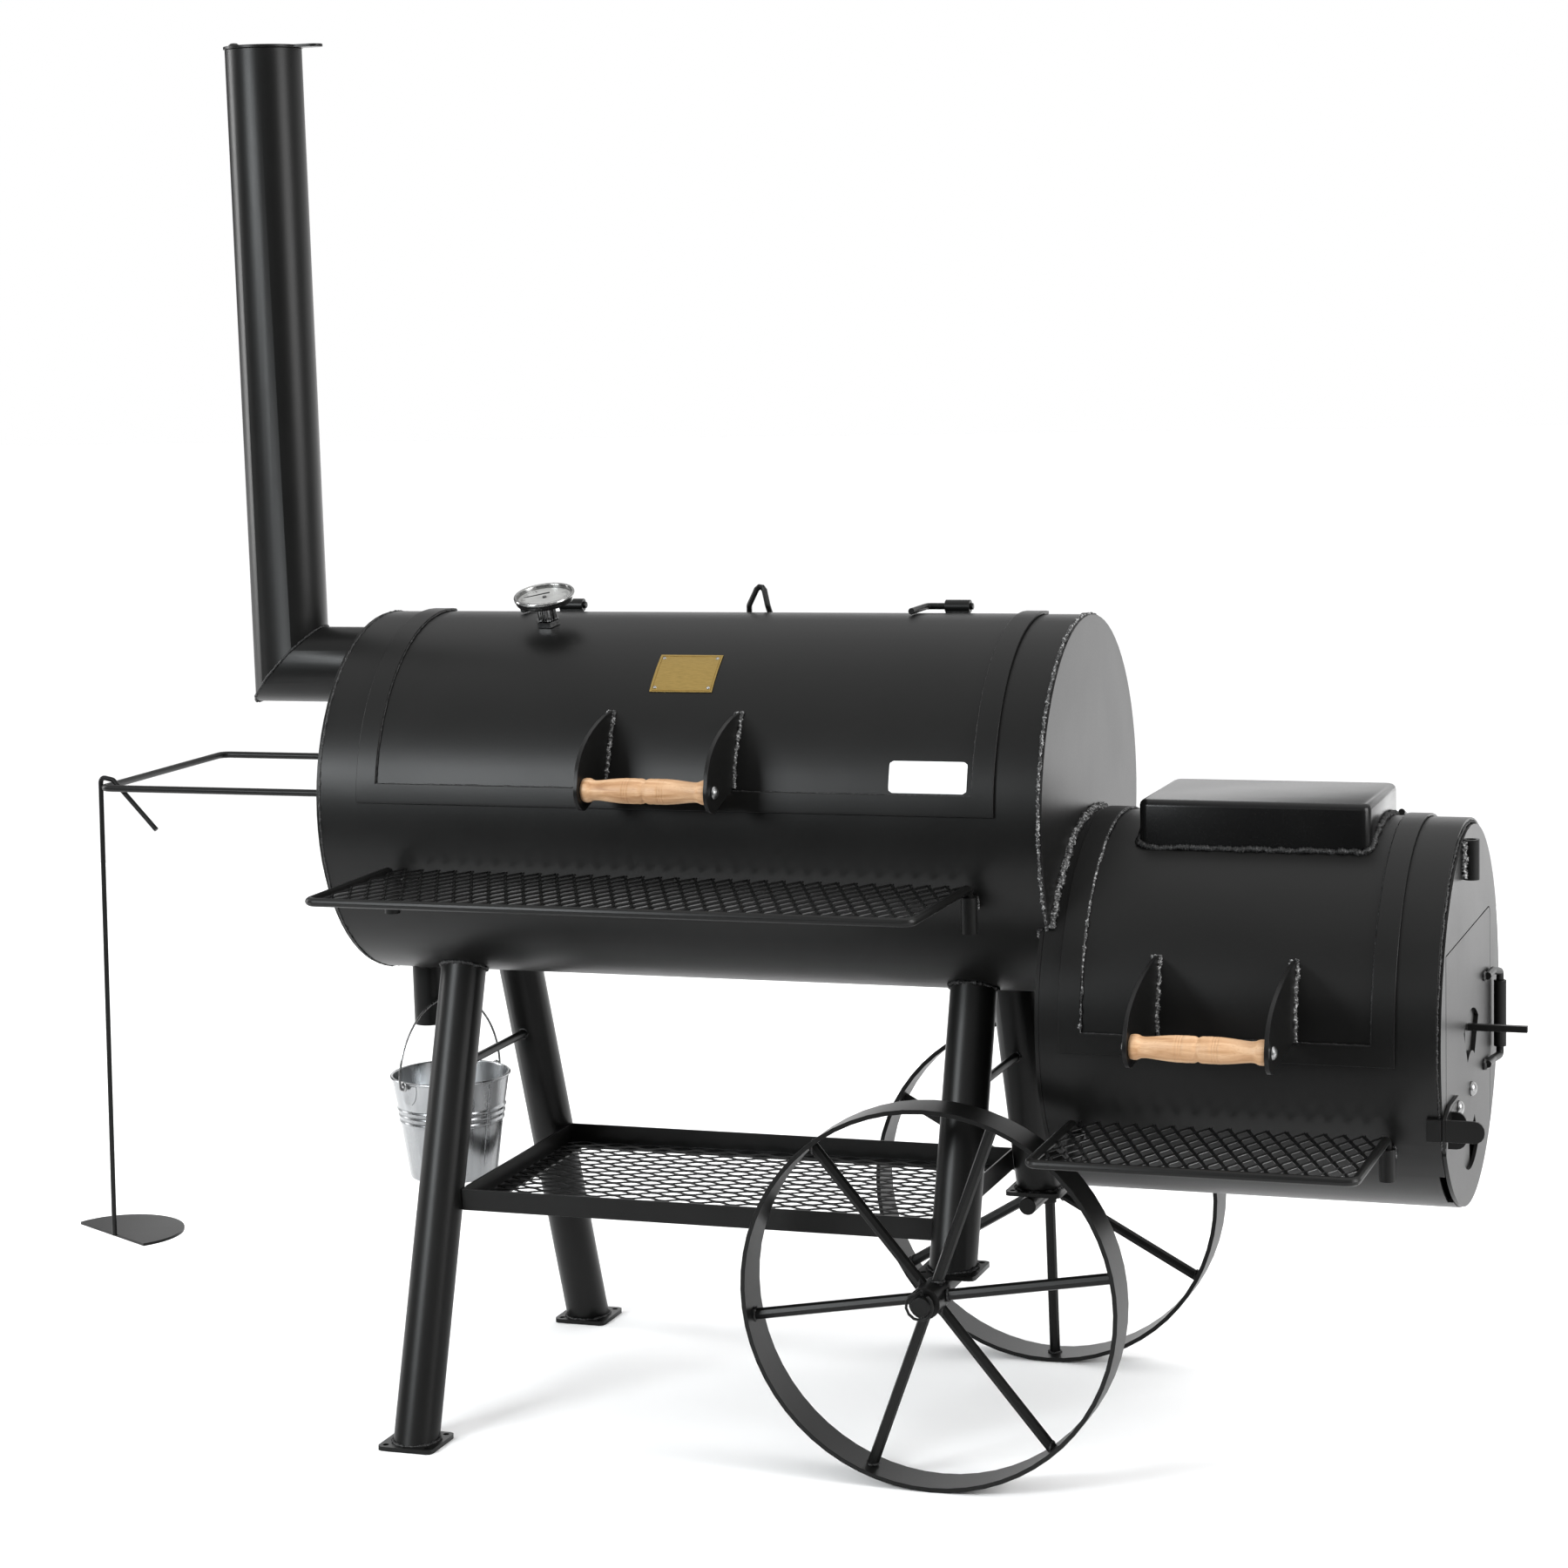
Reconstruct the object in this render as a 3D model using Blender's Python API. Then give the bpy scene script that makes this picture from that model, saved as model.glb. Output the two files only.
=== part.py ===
"""Offset barrel smoker: the working model, built as separate welded, bolted and loose pieces.

All lengths are metres.  X runs along the barrels, -Y is the side the cook stands on, +Z is up.
Drawing coordinates start at the left end of the smoking chamber, on the barrel axis in Y and on
the ground in Z.  ORIGIN moves them so that the frame's origin is the middle of the footprint.
"""
import math

import bpy
import bmesh
from mathutils import Matrix, Vector

# ---------------------------------------------------------------- driving dimensions
ORIGIN = Vector((0.55495, -0.0835, 0.0))

GAP = 0.0003            # clearance between two pieces that are welded or rest together
GRID = math.radians(5)  # facet angle of every large cylinder

BARREL_R = 0.254        # 20 inch pipe, both barrels
BARREL_WALL = 0.005
CHAMBER_LEN = 1.026     # 40 inch tube between two 5 mm end plates
CHAMBER_Z = 0.863       # height of the smoking chamber's axis
PLATE = 0.005           # end plate thickness

FIREBOX_X0 = 1.0173     # left end of the firebox tube
FIREBOX_X1 = 1.5257     # right end of the firebox tube
FIREBOX_Z = 0.600
FACE_X = 1.5310         # outer face of the firebox end plate and door
FACE_Z = 0.5965         # centre height of the firebox end plate
FACE_R = 0.249

LID_SKIN = (0.2494, 0.2545)     # inner and outer radius of a lid's skin
LID_STRIP_R = 0.2585            # outer radius of the flat bar edging on a lid
STRIP_W = 0.029

CHAMBER_LID_X = (0.062, 0.963)  # outer ends of the edging
CHAMBER_LID_A = (4.0, 97.5)     # lid angles in degrees, from -Y towards +Z
FIREBOX_LID_X = (1.044, 1.475)
FIREBOX_LID_A = (-4.8, 113.0)
STRIP_A = 6.0                   # width of the lower edging strip, degrees

HINGE_R = 0.0090        # knuckle outer radius
HINGE_BORE = 0.0050
PIN_R = 0.0045
HINGE_RHO = 0.2655      # distance of the lid hinge axes from the barrel axis
CHAMBER_HINGE_A = 102.0
FIREBOX_HINGE_A = 119.0
CHAMBER_KNUCKLES = ((0.243, 0.278), (0.812, 0.847))
FIREBOX_KNUCKLE = (1.124, 1.416)

THERMOMETER_X = 0.2765
THERMOMETER_A = 74.0    # where the thermometer stands on the lid, degrees
DIAL_H = 0.0445         # height of its dial above the lid

FIN_T = 0.0055          # handle plate thickness
CHAMBER_FINS = (0.4243, 0.6048)
CHAMBER_GRIP = (-0.325, 0.916)
FIREBOX_FINS = (1.1692, 1.3458)
FIREBOX_GRIP = (-0.390, 0.621)
GRIP_R = 0.0170
BOLT_R = 0.0040
BOLT_HEAD = 0.0090

TOP_EDGE_R = 0.008      # rounding of the hot plate's top edge

CHIMNEY_X = -0.1576
CHIMNEY_Z = 1.0410      # height of the horizontal run
CHIMNEY_TOP = 1.9110
CHIMNEY_R = 0.0540
CHIMNEY_WALL = 0.003
COLLAR_R = 0.0590
CAP_R = 0.0560
CAP_T = 0.0040
CAP_PIVOT_X = -0.2035

LEG_R = 0.03175          # 2 1/2 inch tube
LEG_WALL = 0.0032
LEG_LEFT_X = 0.137
LEG_RIGHT_X = 0.884
LEG_FOOT_Y = 0.311      # distance of the leg axis from the middle at ground level
LEG_SLOPE = 0.3500      # inward travel of the axis per metre of height
FOOT = 0.082
FOOT_T = 0.006
ROD_Z = 0.488           # height of the rods between the legs
ROD_R = 0.006
STUB_TOP = 0.2675       # top of the axle stubs, where the right feet sit

WHEEL_X = 0.878
WHEEL_R = 0.255
WHEEL_Y = (0.262, 0.322)
RIM_T = 0.006
AXLE_R = 0.0125
AXLE_Y = (0.172, 0.345)
HUB_R = 0.0212
HUB_Y = (0.271, 0.328)
SPOKE_R = 0.0078
SPOKES = 6
SPOKE_LEAN = {"front": 9.5, "rear": -29.0}   # angle of the first spoke, degrees
LINCH_Y = 0.3355

SHELF_R = 0.006         # round bar of the lift-out shelves
SOCKET_R = 0.01065
SOCKET_BORE = 0.0066
FRONT_SHELF = dict(x=(0.112, 0.930), y=(-0.513, -0.261), z=0.790, pin=0.744, socket=(0.731, 0.778))
FIRE_SHELF = dict(x=(1.060, 1.464), y=(-0.470, -0.248), z=0.486, pin=0.446, socket=(0.432, 0.4735))
MESH_T = 0.003

RACK_X = (0.1665, 0.8525)
RACK_Y = 0.200
RACK_Z = (0.303, 0.333)
RACK_T = 0.003

DRAIN_X = 0.0365
DRAIN_R = 0.0212
DRAIN_Z = 0.521
BUCKET_C = Vector((0.066, 0.0, 0.0))
BUCKET_Z = (0.300, 0.450)
BUCKET_R = (0.063, 0.086)
EAR_DIR = Vector((0.4067, 0.9135, 0.0))
EAR_Z = 0.4445
BAIL_TOP = 0.5600
BAIL_R = 0.0016

FRAME_X = -0.376        # far end of the pull frame
FRAME_Y = 0.180
FRAME_Z = 0.881
FRAME_R = 0.005
RAKE_Y = -0.1640
RAKE_Z = 0.2190          # height of the rake's blade
RAKE_R = 0.090
RAKE_CUT = 0.018        # distance of the blade's straight edge from its middle

DOOR_Y = (-0.206, 0.168)
DOOR_TOP = 0.7115
DOOR_CORNER = 0.014
DOOR_PIVOT = (1.5414, 0.190)
VENT_C = (0.0, 0.498)   # y, z of the air shutter's rivet
VENT_R = (0.050, 0.106)
LATCH_C = (-0.142, 0.505)

# ---------------------------------------------------------------- materials
PAINT = dict(color=(0.018, 0.018, 0.019), metallic=0.0, rough=0.42)
STEEL = dict(color=(0.36, 0.36, 0.37), metallic=1.0, rough=0.35)
CHROME = dict(color=(0.75, 0.76, 0.78), metallic=1.0, rough=0.12)
WOOD = dict(color=(0.72, 0.48, 0.27), metallic=0.0, rough=0.55)
BRASS = dict(color=(0.80, 0.62, 0.22), metallic=1.0, rough=0.3)
ZINC = dict(color=(0.62, 0.64, 0.66), metallic=1.0, rough=0.38)
IRON = dict(color=(0.05, 0.045, 0.042), metallic=0.3, rough=0.7)


def clear_scene():
    """Remove everything the start-up file holds."""
    for item in list(bpy.data.objects):
        bpy.data.objects.remove(item, do_unlink=True)


def material(name, look):
    """One Principled material per sub-part."""
    mat = bpy.data.materials.new(name)
    mat.use_nodes = True
    shader = mat.node_tree.nodes["Principled BSDF"]
    shader.inputs["Base Color"].default_value = (*look["color"], 1.0)
    shader.inputs["Metallic"].default_value = look["metallic"]
    shader.inputs["Roughness"].default_value = look["rough"]
    return mat


def solid(name, shape, look, pivot=(0.0, 0.0, 0.0), sharp=35):
    """Make one object from (vertices, faces), with its origin on the pivot."""
    verts, faces = shape
    pivot = Vector(pivot)
    mesh = bpy.data.meshes.new(name)
    mesh.from_pydata([Vector(v) - pivot for v in verts], [], faces)
    work = bmesh.new()
    work.from_mesh(mesh)
    bmesh.ops.remove_doubles(work, verts=work.verts, dist=1e-6)
    bmesh.ops.recalc_face_normals(work, faces=work.faces)
    work.to_mesh(mesh)
    work.free()
    mesh.shade_smooth()
    mesh.set_sharp_from_angle(angle=math.radians(sharp))
    item = bpy.data.objects.new(name, mesh)
    item.location = pivot - ORIGIN
    bpy.context.scene.collection.objects.link(item)
    if look:
        mesh.materials.append(material(name, look))
    return item


def combine(item, shapes, operation):
    """Add shapes to, or take them from, a solid with exact Booleans."""
    for number, shape in enumerate(shapes):
        tool = solid(f"{item.name}_tool_{operation.lower()}_{number}", shape, None)
        tool.hide_render = True
        tool.display_type = "WIRE"
        step = item.modifiers.new(f"{operation}_{number}", "BOOLEAN")
        step.operation = operation
        step.solver = "EXACT"
        step.object = tool


# ---------------------------------------------------------------- shapes
def cells(us, vs, ws, filled, place, ring=False):
    """Skin of the filled cells of a block grid; ring joins the last v cell to the first."""
    verts = {}
    points = []
    faces = []
    turns = len(vs) - 1

    def corner(i, j, k):
        key = (i, j % turns if ring else j, k)
        if key not in verts:
            verts[key] = len(points)
            points.append(place(us[i], vs[j], ws[k]))
        return verts[key]

    def full(i, j, k):
        if ring:
            j = j % turns
        inside = 0 <= i < len(us) - 1 and 0 <= j < turns and 0 <= k < len(ws) - 1
        return inside and filled(i, j, k)

    for i in range(len(us) - 1):
        for j in range(len(vs) - 1):
            for k in range(len(ws) - 1):
                if not full(i, j, k):
                    continue
                for axis in range(3):
                    for side in (0, 1):
                        step = [0, 0, 0]
                        step[axis] = 1 if side else -1
                        if full(i + step[0], j + step[1], k + step[2]):
                            continue
                        base = [i, j, k]
                        base[axis] += side
                        first, second = [n for n in range(3) if n != axis]
                        quad = []
                        for da, db in ((0, 0), (1, 0), (1, 1), (0, 1)):
                            spot = list(base)
                            spot[first] += da
                            spot[second] += db
                            quad.append(corner(*spot))
                        faces.append(quad)
    return points, faces


def facet_radius(radius, angle):
    """Distance from the axis to the faceted cylinder at an angle in radians."""
    offset = angle % GRID - GRID / 2
    return radius * math.cos(GRID / 2) / math.cos(offset)


def on_barrel(radius, degrees, x, axis_z):
    """Point on a faceted barrel; 0 degrees is -Y and 90 degrees is +Z."""
    angle = math.radians(degrees)
    r = facet_radius(radius, angle)
    return Vector((x, -r * math.cos(angle), axis_z + r * math.sin(angle)))


def grid_angles(start, stop, extra=()):
    """Facet angles between two limits in degrees, with the limits and extras included."""
    step = math.degrees(GRID)
    inner = [n * step for n in range(math.ceil(start / step), math.floor(stop / step) + 1)]
    return sorted({round(a, 4) for a in [start, stop, *inner, *extra]})


def barrel(radii, angles, xs, axis_z, filled):
    """Part of a thick cylinder along X, or all of it if the angles span a full turn."""
    def place(r, a, x):
        return on_barrel(r, a, x, axis_z)
    return cells(radii, angles, xs, filled, place, angles[-1] - angles[0] == 360.0)


def box(x0, x1, y0, y1, z0, z1):
    """Rectangular block."""
    return cells([x0, x1], [y0, y1], [z0, z1], lambda i, j, k: True, lambda x, y, z: Vector((x, y, z)))


def axes_for(direction):
    """Two directions square to the given one."""
    direction = Vector(direction).normalized()
    helper = Vector((0, 0, 1)) if abs(direction.z) < 0.9 else Vector((0, 1, 0))
    first = helper.cross(direction).normalized()
    return first, direction.cross(first)


def cylinder(start, stop, radius, sides=24, bore=0.0):
    """Round bar or tube between two points."""
    start, stop = Vector(start), Vector(stop)
    first, second = axes_for(stop - start)
    rings = []
    for centre, r in ((start, radius), (stop, radius), (stop, bore), (start, bore)):
        rings.append([centre + (first * math.cos(t) + second * math.sin(t)) * r
                      for t in (2 * math.pi * n / sides for n in range(sides))])
    if not bore:
        points = rings[0] + rings[1]
        faces = [list(range(sides)), list(range(sides, 2 * sides))]
        faces += [[n, (n + 1) % sides, sides + (n + 1) % sides, sides + n] for n in range(sides)]
        return points, faces
    points = [p for ring in rings for p in ring]
    faces = []
    for level in range(4):
        here, there = level * sides, (level + 1) % 4 * sides
        faces += [[here + n, here + (n + 1) % sides, there + (n + 1) % sides, there + n]
                  for n in range(sides)]
    return points, faces


def turned(start, direction, profile, sides=24):
    """Solid of revolution: profile is (distance along, radius), ends at radius 0."""
    start, direction = Vector(start), Vector(direction).normalized()
    first, second = axes_for(direction)
    points = [start + direction * profile[0][0]]
    for along, radius in profile[1:-1]:
        points += [start + direction * along + (first * math.cos(t) + second * math.sin(t)) * radius
                   for t in (2 * math.pi * n / sides for n in range(sides))]
    points.append(start + direction * profile[-1][0])
    last = len(points) - 1
    faces = []
    rings = len(profile) - 2
    for n in range(sides):
        after = (n + 1) % sides
        faces.append([0, 1 + n, 1 + after])
        faces.append([last, last - sides + n, last - sides + after])
        for ring in range(rings - 1):
            here = 1 + ring * sides
            faces.append([here + n, here + after, here + sides + after, here + sides + n])
    return points, faces


def swept(path, radii, sides=10, closed=False):
    """Round bar along a path, mitred at each point; radii is one number or one per point."""
    path = [Vector(p) for p in path]
    count = len(path)
    if isinstance(radii, float):
        radii = [radii] * count
    points = []
    first = None
    for n, here in enumerate(path):
        before = path[n - 1] if n or closed else None
        after = path[(n + 1) % count] if n < count - 1 or closed else None
        if before is not None and (here - before).length < 1e-7:
            before = path[n - 2]
        if after is not None and (after - here).length < 1e-7:
            after = path[n + 2]
        incoming = (here - before).normalized() if before is not None else (after - here).normalized()
        outgoing = (after - here).normalized() if after is not None else incoming
        if first is None:
            first = axes_for(incoming)[0]
        first = (first - incoming * first.dot(incoming)).normalized()
        second = incoming.cross(first)
        normal = (incoming + outgoing).normalized()
        slope = incoming.dot(normal)
        for k in range(sides):
            turn = 2 * math.pi * k / sides
            arm = (first * math.cos(turn) + second * math.sin(turn)) * radii[n]
            points.append(here + arm - incoming * (arm.dot(normal) / slope))
        first = first - outgoing * first.dot(outgoing) if first.cross(outgoing).length > 0.3 else first
        first = rotated(first, incoming, outgoing)
    faces = []
    spans = count if closed else count - 1
    for n in range(spans):
        here, there = n * sides, (n + 1) % count * sides
        faces += [[here + k, here + (k + 1) % sides, there + (k + 1) % sides, there + k]
                  for k in range(sides)]
    if not closed:
        faces.append(list(range(sides)))
        faces.append(list(range((count - 1) * sides, count * sides)))
    return points, faces


def rotated(vector, incoming, outgoing):
    """Carry a direction round a bend without twist."""
    if incoming.cross(outgoing).length < 1e-9:
        return vector.normalized()
    return (incoming.rotation_difference(outgoing) @ vector).normalized()


def bent(corners, radius, steps=4):
    """Path through the corners with each inner corner rounded."""
    corners = [Vector(c) for c in corners]
    path = [corners[0]]
    for before, here, after in zip(corners, corners[1:], corners[2:]):
        a, b = (before - here).normalized(), (after - here).normalized()
        half = a.angle(b) / 2
        reach = radius / math.tan(half)
        centre = here + (a + b).normalized() * (radius / math.sin(half))
        start, stop = here + a * reach, here + b * reach
        sweep = math.pi - 2 * half
        for n in range(steps + 1):
            turn = sweep * n / steps
            path.append(centre + ((start - centre) * math.sin(sweep - turn)
                                  + (stop - centre) * math.sin(turn)) / math.sin(sweep))
    path.append(corners[-1])
    return path


def hollow_sweep(path, outer, inner, sides=48):
    """Tube along a mitred path, open at both ends."""
    shell, shell_faces = swept(path, outer, sides)
    core, core_faces = swept(path, inner, sides)
    shift = len(shell)
    faces = shell_faces[:-2] + [[shift + v for v in face] for face in core_faces[:-2]]
    last = len(shell) - sides
    for n in range(sides):
        after = (n + 1) % sides
        faces.append([n, after, shift + after, shift + n])
        faces.append([last + n, last + after, shift + last + after, shift + last + n])
    return shell + core, faces


def prism(outline, lower, upper, axis):
    """Extrude a flat outline; axis 0, 1 or 2 names the direction of thickness."""
    def point(a, b, depth):
        values = [a, b]
        values.insert(axis, depth)
        return Vector(values)
    count = len(outline)
    points = [point(a, b, lower) for a, b in outline] + [point(a, b, upper) for a, b in outline]
    faces = [list(range(count)), list(range(count, 2 * count))]
    faces += [[n, (n + 1) % count, count + (n + 1) % count, count + n] for n in range(count)]
    return points, faces


def arc(centre, radius, start, stop, steps):
    """Points on an arc; angles in degrees in the outline's own plane."""
    turns = [math.radians(start + (stop - start) * n / steps) for n in range(steps + 1)]
    return [(centre[0] + radius * math.cos(t), centre[1] + radius * math.sin(t)) for t in turns]


def rounded_rectangle(a0, a1, b0, b1, radius, steps=3):
    """Outline of a rectangle with rounded corners."""
    outline = []
    for a, b, start in ((a1 - radius, b1 - radius, 0), (a0 + radius, b1 - radius, 90),
                        (a0 + radius, b0 + radius, 180), (a1 - radius, b0 + radius, 270)):
        outline += arc((a, b), radius, start, start + 90, steps)
    return outline


# ---------------------------------------------------------------- smoking chamber
def full_circle(extra=()):
    """Facet angles of a whole barrel, with the opening's edges added."""
    return grid_angles(0.0, 360.0, extra)


def hinge_axis(axis_z, degrees):
    """Y and Z of a lid hinge."""
    angle = math.radians(degrees)
    return -HINGE_RHO * math.cos(angle), axis_z + HINGE_RHO * math.sin(angle)


def socket_parts(shelf, axis_z):
    """Sockets for a lift-out shelf and the short webs that hold them to the barrel."""
    parts = []
    low, high = shelf["socket"]
    y = shelf["y"][1]
    for x in shelf["x"]:
        parts.append(cylinder((x, y, low), (x, y, high), SOCKET_R, 16, SOCKET_BORE))
        drop = axis_z - (high - 0.008)
        surface = -math.sqrt(BARREL_R ** 2 - drop ** 2)
        parts.append(box(x - 0.004, x + 0.004, y + SOCKET_BORE + 0.0015, surface + 0.003,
                         high - 0.016, high - 0.001))
    return parts


def chamber_barrel():
    """Rolled tube with the lid opening, drain hole, shelf sockets and lid stop."""
    skin_x = (CHAMBER_LID_X[0] + 0.013, CHAMBER_LID_X[1] - 0.013)
    opening = (CHAMBER_LID_A[0] + 3.0, CHAMBER_LID_A[1] + 1.0)
    angles = full_circle(opening)
    xs = [PLATE + GAP, *skin_x, CHAMBER_LEN - PLATE - GAP]

    def filled(i, j, k):
        middle = (angles[j] + angles[j + 1]) / 2
        return not (k == 1 and opening[0] < middle < opening[1])

    radii = [BARREL_R - BARREL_WALL, BARREL_R]
    item = solid("chamber_barrel", barrel(radii, angles, xs, CHAMBER_Z, filled), PAINT)
    y, z = hinge_axis(CHAMBER_Z, CHAMBER_HINGE_A)
    stop_y = y + 0.0045
    foot_z = CHAMBER_Z + math.sqrt(BARREL_R ** 2 - (stop_y + 0.010) ** 2) - 0.0035
    hoop = bent([(0.521, stop_y + 0.010, foot_z), (0.525, stop_y, z), (0.5445, stop_y, z + 0.0375),
                 (0.552, stop_y, z), (0.554, stop_y + 0.010, foot_z)], 0.0060, 3)
    drain = cylinder((DRAIN_X, 0, CHAMBER_Z - 0.30), (DRAIN_X, 0, CHAMBER_Z - 0.20), 0.018, 24)
    combine(item, [drain], "DIFFERENCE")
    combine(item, socket_parts(FRONT_SHELF, CHAMBER_Z) + [swept(hoop, 0.004, 8)], "UNION")


def chamber_ends():
    """Left plate with the chimney hole and right plate with the throat into the firebox."""
    left = solid("chamber_end_left", disc(0.0, PLATE, CHAMBER_Z, BARREL_R), PAINT)
    hole = cylinder((-0.02, 0, CHIMNEY_Z), (0.03, 0, CHIMNEY_Z), CHIMNEY_R - CHIMNEY_WALL, 48)
    combine(left, [hole], "DIFFERENCE")
    right = solid("chamber_end_right", disc(CHAMBER_LEN - PLATE, CHAMBER_LEN, CHAMBER_Z, BARREL_R), PAINT)
    throat = [(-0.165, 0.745), (-0.110, 0.670), (0.110, 0.670), (0.165, 0.745), (0.110, 0.815),
              (-0.110, 0.815)]
    combine(right, [prism(throat, CHAMBER_LEN - 0.03, CHAMBER_LEN + 0.02, 0)], "DIFFERENCE")


def disc(x0, x1, axis_z, radius):
    """Flat round plate with the same facets as a barrel."""
    step = math.degrees(GRID)
    outline = []
    for n in range(round(360 / step)):
        spot = on_barrel(radius, n * step, x0, axis_z)
        outline.append((spot.y, spot.z))
    return prism(outline, x0, x1, 0)


def lid(name, span_x, span_a, axis_z):
    """Door cut from the barrel, with flat bar edging that laps over the opening."""
    cut_a = (span_a[0] + 4.0, span_a[1])
    radii = [LID_SKIN[0], LID_SKIN[1], LID_STRIP_R]
    angles = grid_angles(span_a[0], span_a[1], (cut_a[0], span_a[0] + STRIP_A))
    xs = [span_x[0], span_x[0] + 0.0155, span_x[0] + STRIP_W,
          span_x[1] - STRIP_W, span_x[1] - 0.0155, span_x[1]]

    def filled(i, j, k):
        middle = (angles[j] + angles[j + 1]) / 2
        if i == 0:
            return 1 <= k <= 3 and middle > cut_a[0]
        return k in (0, 1, 3, 4) or middle < span_a[0] + STRIP_A

    hinge = CHAMBER_HINGE_A if name.startswith("chamber") else FIREBOX_HINGE_A
    y, z = hinge_axis(axis_z, hinge)
    solid(name, barrel(radii, angles, xs, axis_z, filled), PAINT, (sum(span_x) / 2, y, z))


def fin_outline(grip, axis_z, top_z, foot_z, reach):
    """Shark-fin handle plate: foot on the lid skin, round nose in front of the grip."""
    outline = []
    low = math.degrees(math.asin((foot_z - axis_z) / LID_SKIN[1]))
    high = math.degrees(math.asin((top_z - axis_z) / LID_SKIN[1]))
    for n in range(9):
        spot = on_barrel(LID_SKIN[1] + GAP, low + (high - low) * n / 8, 0, axis_z)
        outline.append((spot.y, spot.z))
    nose = (grip[0] - reach + 0.028, grip[1])
    tip = Vector((outline[-1][0] - 0.004, outline[-1][1] + 0.002))
    start = Vector((nose[0] - 0.025, nose[1] + 0.013))
    bulge = Vector((start.x + 0.006, tip.y - 0.022))
    for n in range(1, 9):
        t = n / 9
        spot = tip * (1 - t) ** 2 + bulge * 2 * t * (1 - t) + start * t * t
        outline.append((spot.x, spot.y))
    outline += arc(nose, 0.028, 152, 268, 6)
    return outline


def handle(prefix, fins, grip, axis_z, top_z, foot_z, reach):
    """Two fins, a turned wooden grip and the bolt that runs through all three."""
    hinge = CHAMBER_HINGE_A if prefix == "chamber" else FIREBOX_HINGE_A
    outline = fin_outline(grip, axis_z, top_z, foot_z, reach)
    pivot_y, pivot_z = hinge_axis(axis_z, hinge)
    for side, x in zip(("left", "right"), fins):
        plate = solid(f"{prefix}_lid_fin_{side}", prism(outline, x - FIN_T / 2, x + FIN_T / 2, 0), PAINT,
                      (x, pivot_y, pivot_z))
        hole = cylinder((x - 0.02, *grip), (x + 0.02, *grip), BOLT_R + GAP, 16)
        combine(plate, [hole], "DIFFERENCE")
    x0, x1 = fins[0] + FIN_T / 2 + GAP, fins[1] - FIN_T / 2 - GAP
    length = x1 - x0
    wave = [(0.0, 0.0152), (0.004, 0.0160), (0.010, 0.0150), (0.014, 0.0128), (0.045, 0.0165),
            (0.070, 0.0170), (length / 2, 0.0142)]
    profile = wave + [(length - a, r) for a, r in reversed(wave[:-1])]
    pivot = (x0, pivot_y, pivot_z)
    wood = solid(f"{prefix}_lid_grip", lathe_tube((x0, *grip), profile, BOLT_R + GAP), WOOD, pivot)
    wood.data.shade_smooth()
    shank = [(-0.0060, 0.0), (-0.0055, 0.0045), (-0.0030, 0.0080), (-GAP, BOLT_HEAD), (-GAP, BOLT_R)]
    far = length + 2 * FIN_T + 4 * GAP
    start = x0 - FIN_T - 2 * GAP
    bolt = shank + [(far - a, r) for a, r in reversed(shank)]
    solid(f"{prefix}_grip_bolt", turned((start + GAP, *grip), (1, 0, 0), bolt, 16), ZINC, pivot)


def lathe_tube(start, profile, bore, sides=16):
    """Turned tube along +X with a straight bore."""
    start = Vector(start)
    loop = [(a, r) for a, r in profile] + [(profile[-1][0], bore), (profile[0][0], bore)]
    points = []
    for along, radius in loop:
        for n in range(sides):
            turn = 2 * math.pi * n / sides
            points.append(start + Vector((along, radius * math.cos(turn), radius * math.sin(turn))))
    count = len(loop)
    faces = []
    for ring in range(count):
        here, there = ring * sides, (ring + 1) % count * sides
        faces += [[here + n, here + (n + 1) % sides, there + (n + 1) % sides, there + n]
                  for n in range(sides)]
    return points, faces


def knuckle(name, x0, x1, axis_z, degrees):
    """Hinge tube on a short web that stands on the barrel."""
    y, z = hinge_axis(axis_z, degrees)
    item = solid(name, cylinder((x0, y, z), (x1, y, z), HINGE_R, 20, HINGE_BORE), PAINT)
    outline = []
    for radius, half in ((BARREL_R + 0.0006, 0.0040), (HINGE_RHO - HINGE_BORE - 0.0015, 0.0030)):
        for side in (-half, half):
            angle = math.radians(degrees) + side / radius
            outline.append((-radius * math.cos(angle), axis_z + radius * math.sin(angle)))
    outline[2], outline[3] = outline[3], outline[2]
    combine(item, [prism(outline, x0 + 0.001, x1 - 0.001, 0)], "UNION")


def hinge_pin(name, x0, x1, axis_z, degrees):
    """Bent round bar: one leg lies on the lid, the other turns inside the knuckle."""
    y, z = hinge_axis(axis_z, degrees)
    arm_x = x0 - 0.027
    tip_x = x1 + 0.004
    arm = []
    for turn in (degrees - 16.0, degrees - 8.0):
        reach = LID_SKIN[1] + PIN_R + 0.0012
        angle = math.radians(turn)
        arm.append((arm_x, -reach * math.cos(angle), axis_z + reach * math.sin(angle)))
    corners = [*arm, (arm_x, y, z), (tip_x, y, z)]
    solid(name, swept(bent(corners, 0.007, 3), PIN_R, 12), PAINT, ((x0 + x1) / 2, y, z))


def chamber_hinge():
    """Two knuckles on the barrel and two bent pins on the lid, both pushed in from the left."""
    for side, (x0, x1) in zip(("left", "right"), CHAMBER_KNUCKLES):
        knuckle(f"chamber_knuckle_{side}", x0, x1, CHAMBER_Z, CHAMBER_HINGE_A)
        hinge_pin(f"chamber_hinge_pin_{side}", x0, x1, CHAMBER_Z, CHAMBER_HINGE_A)


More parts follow.
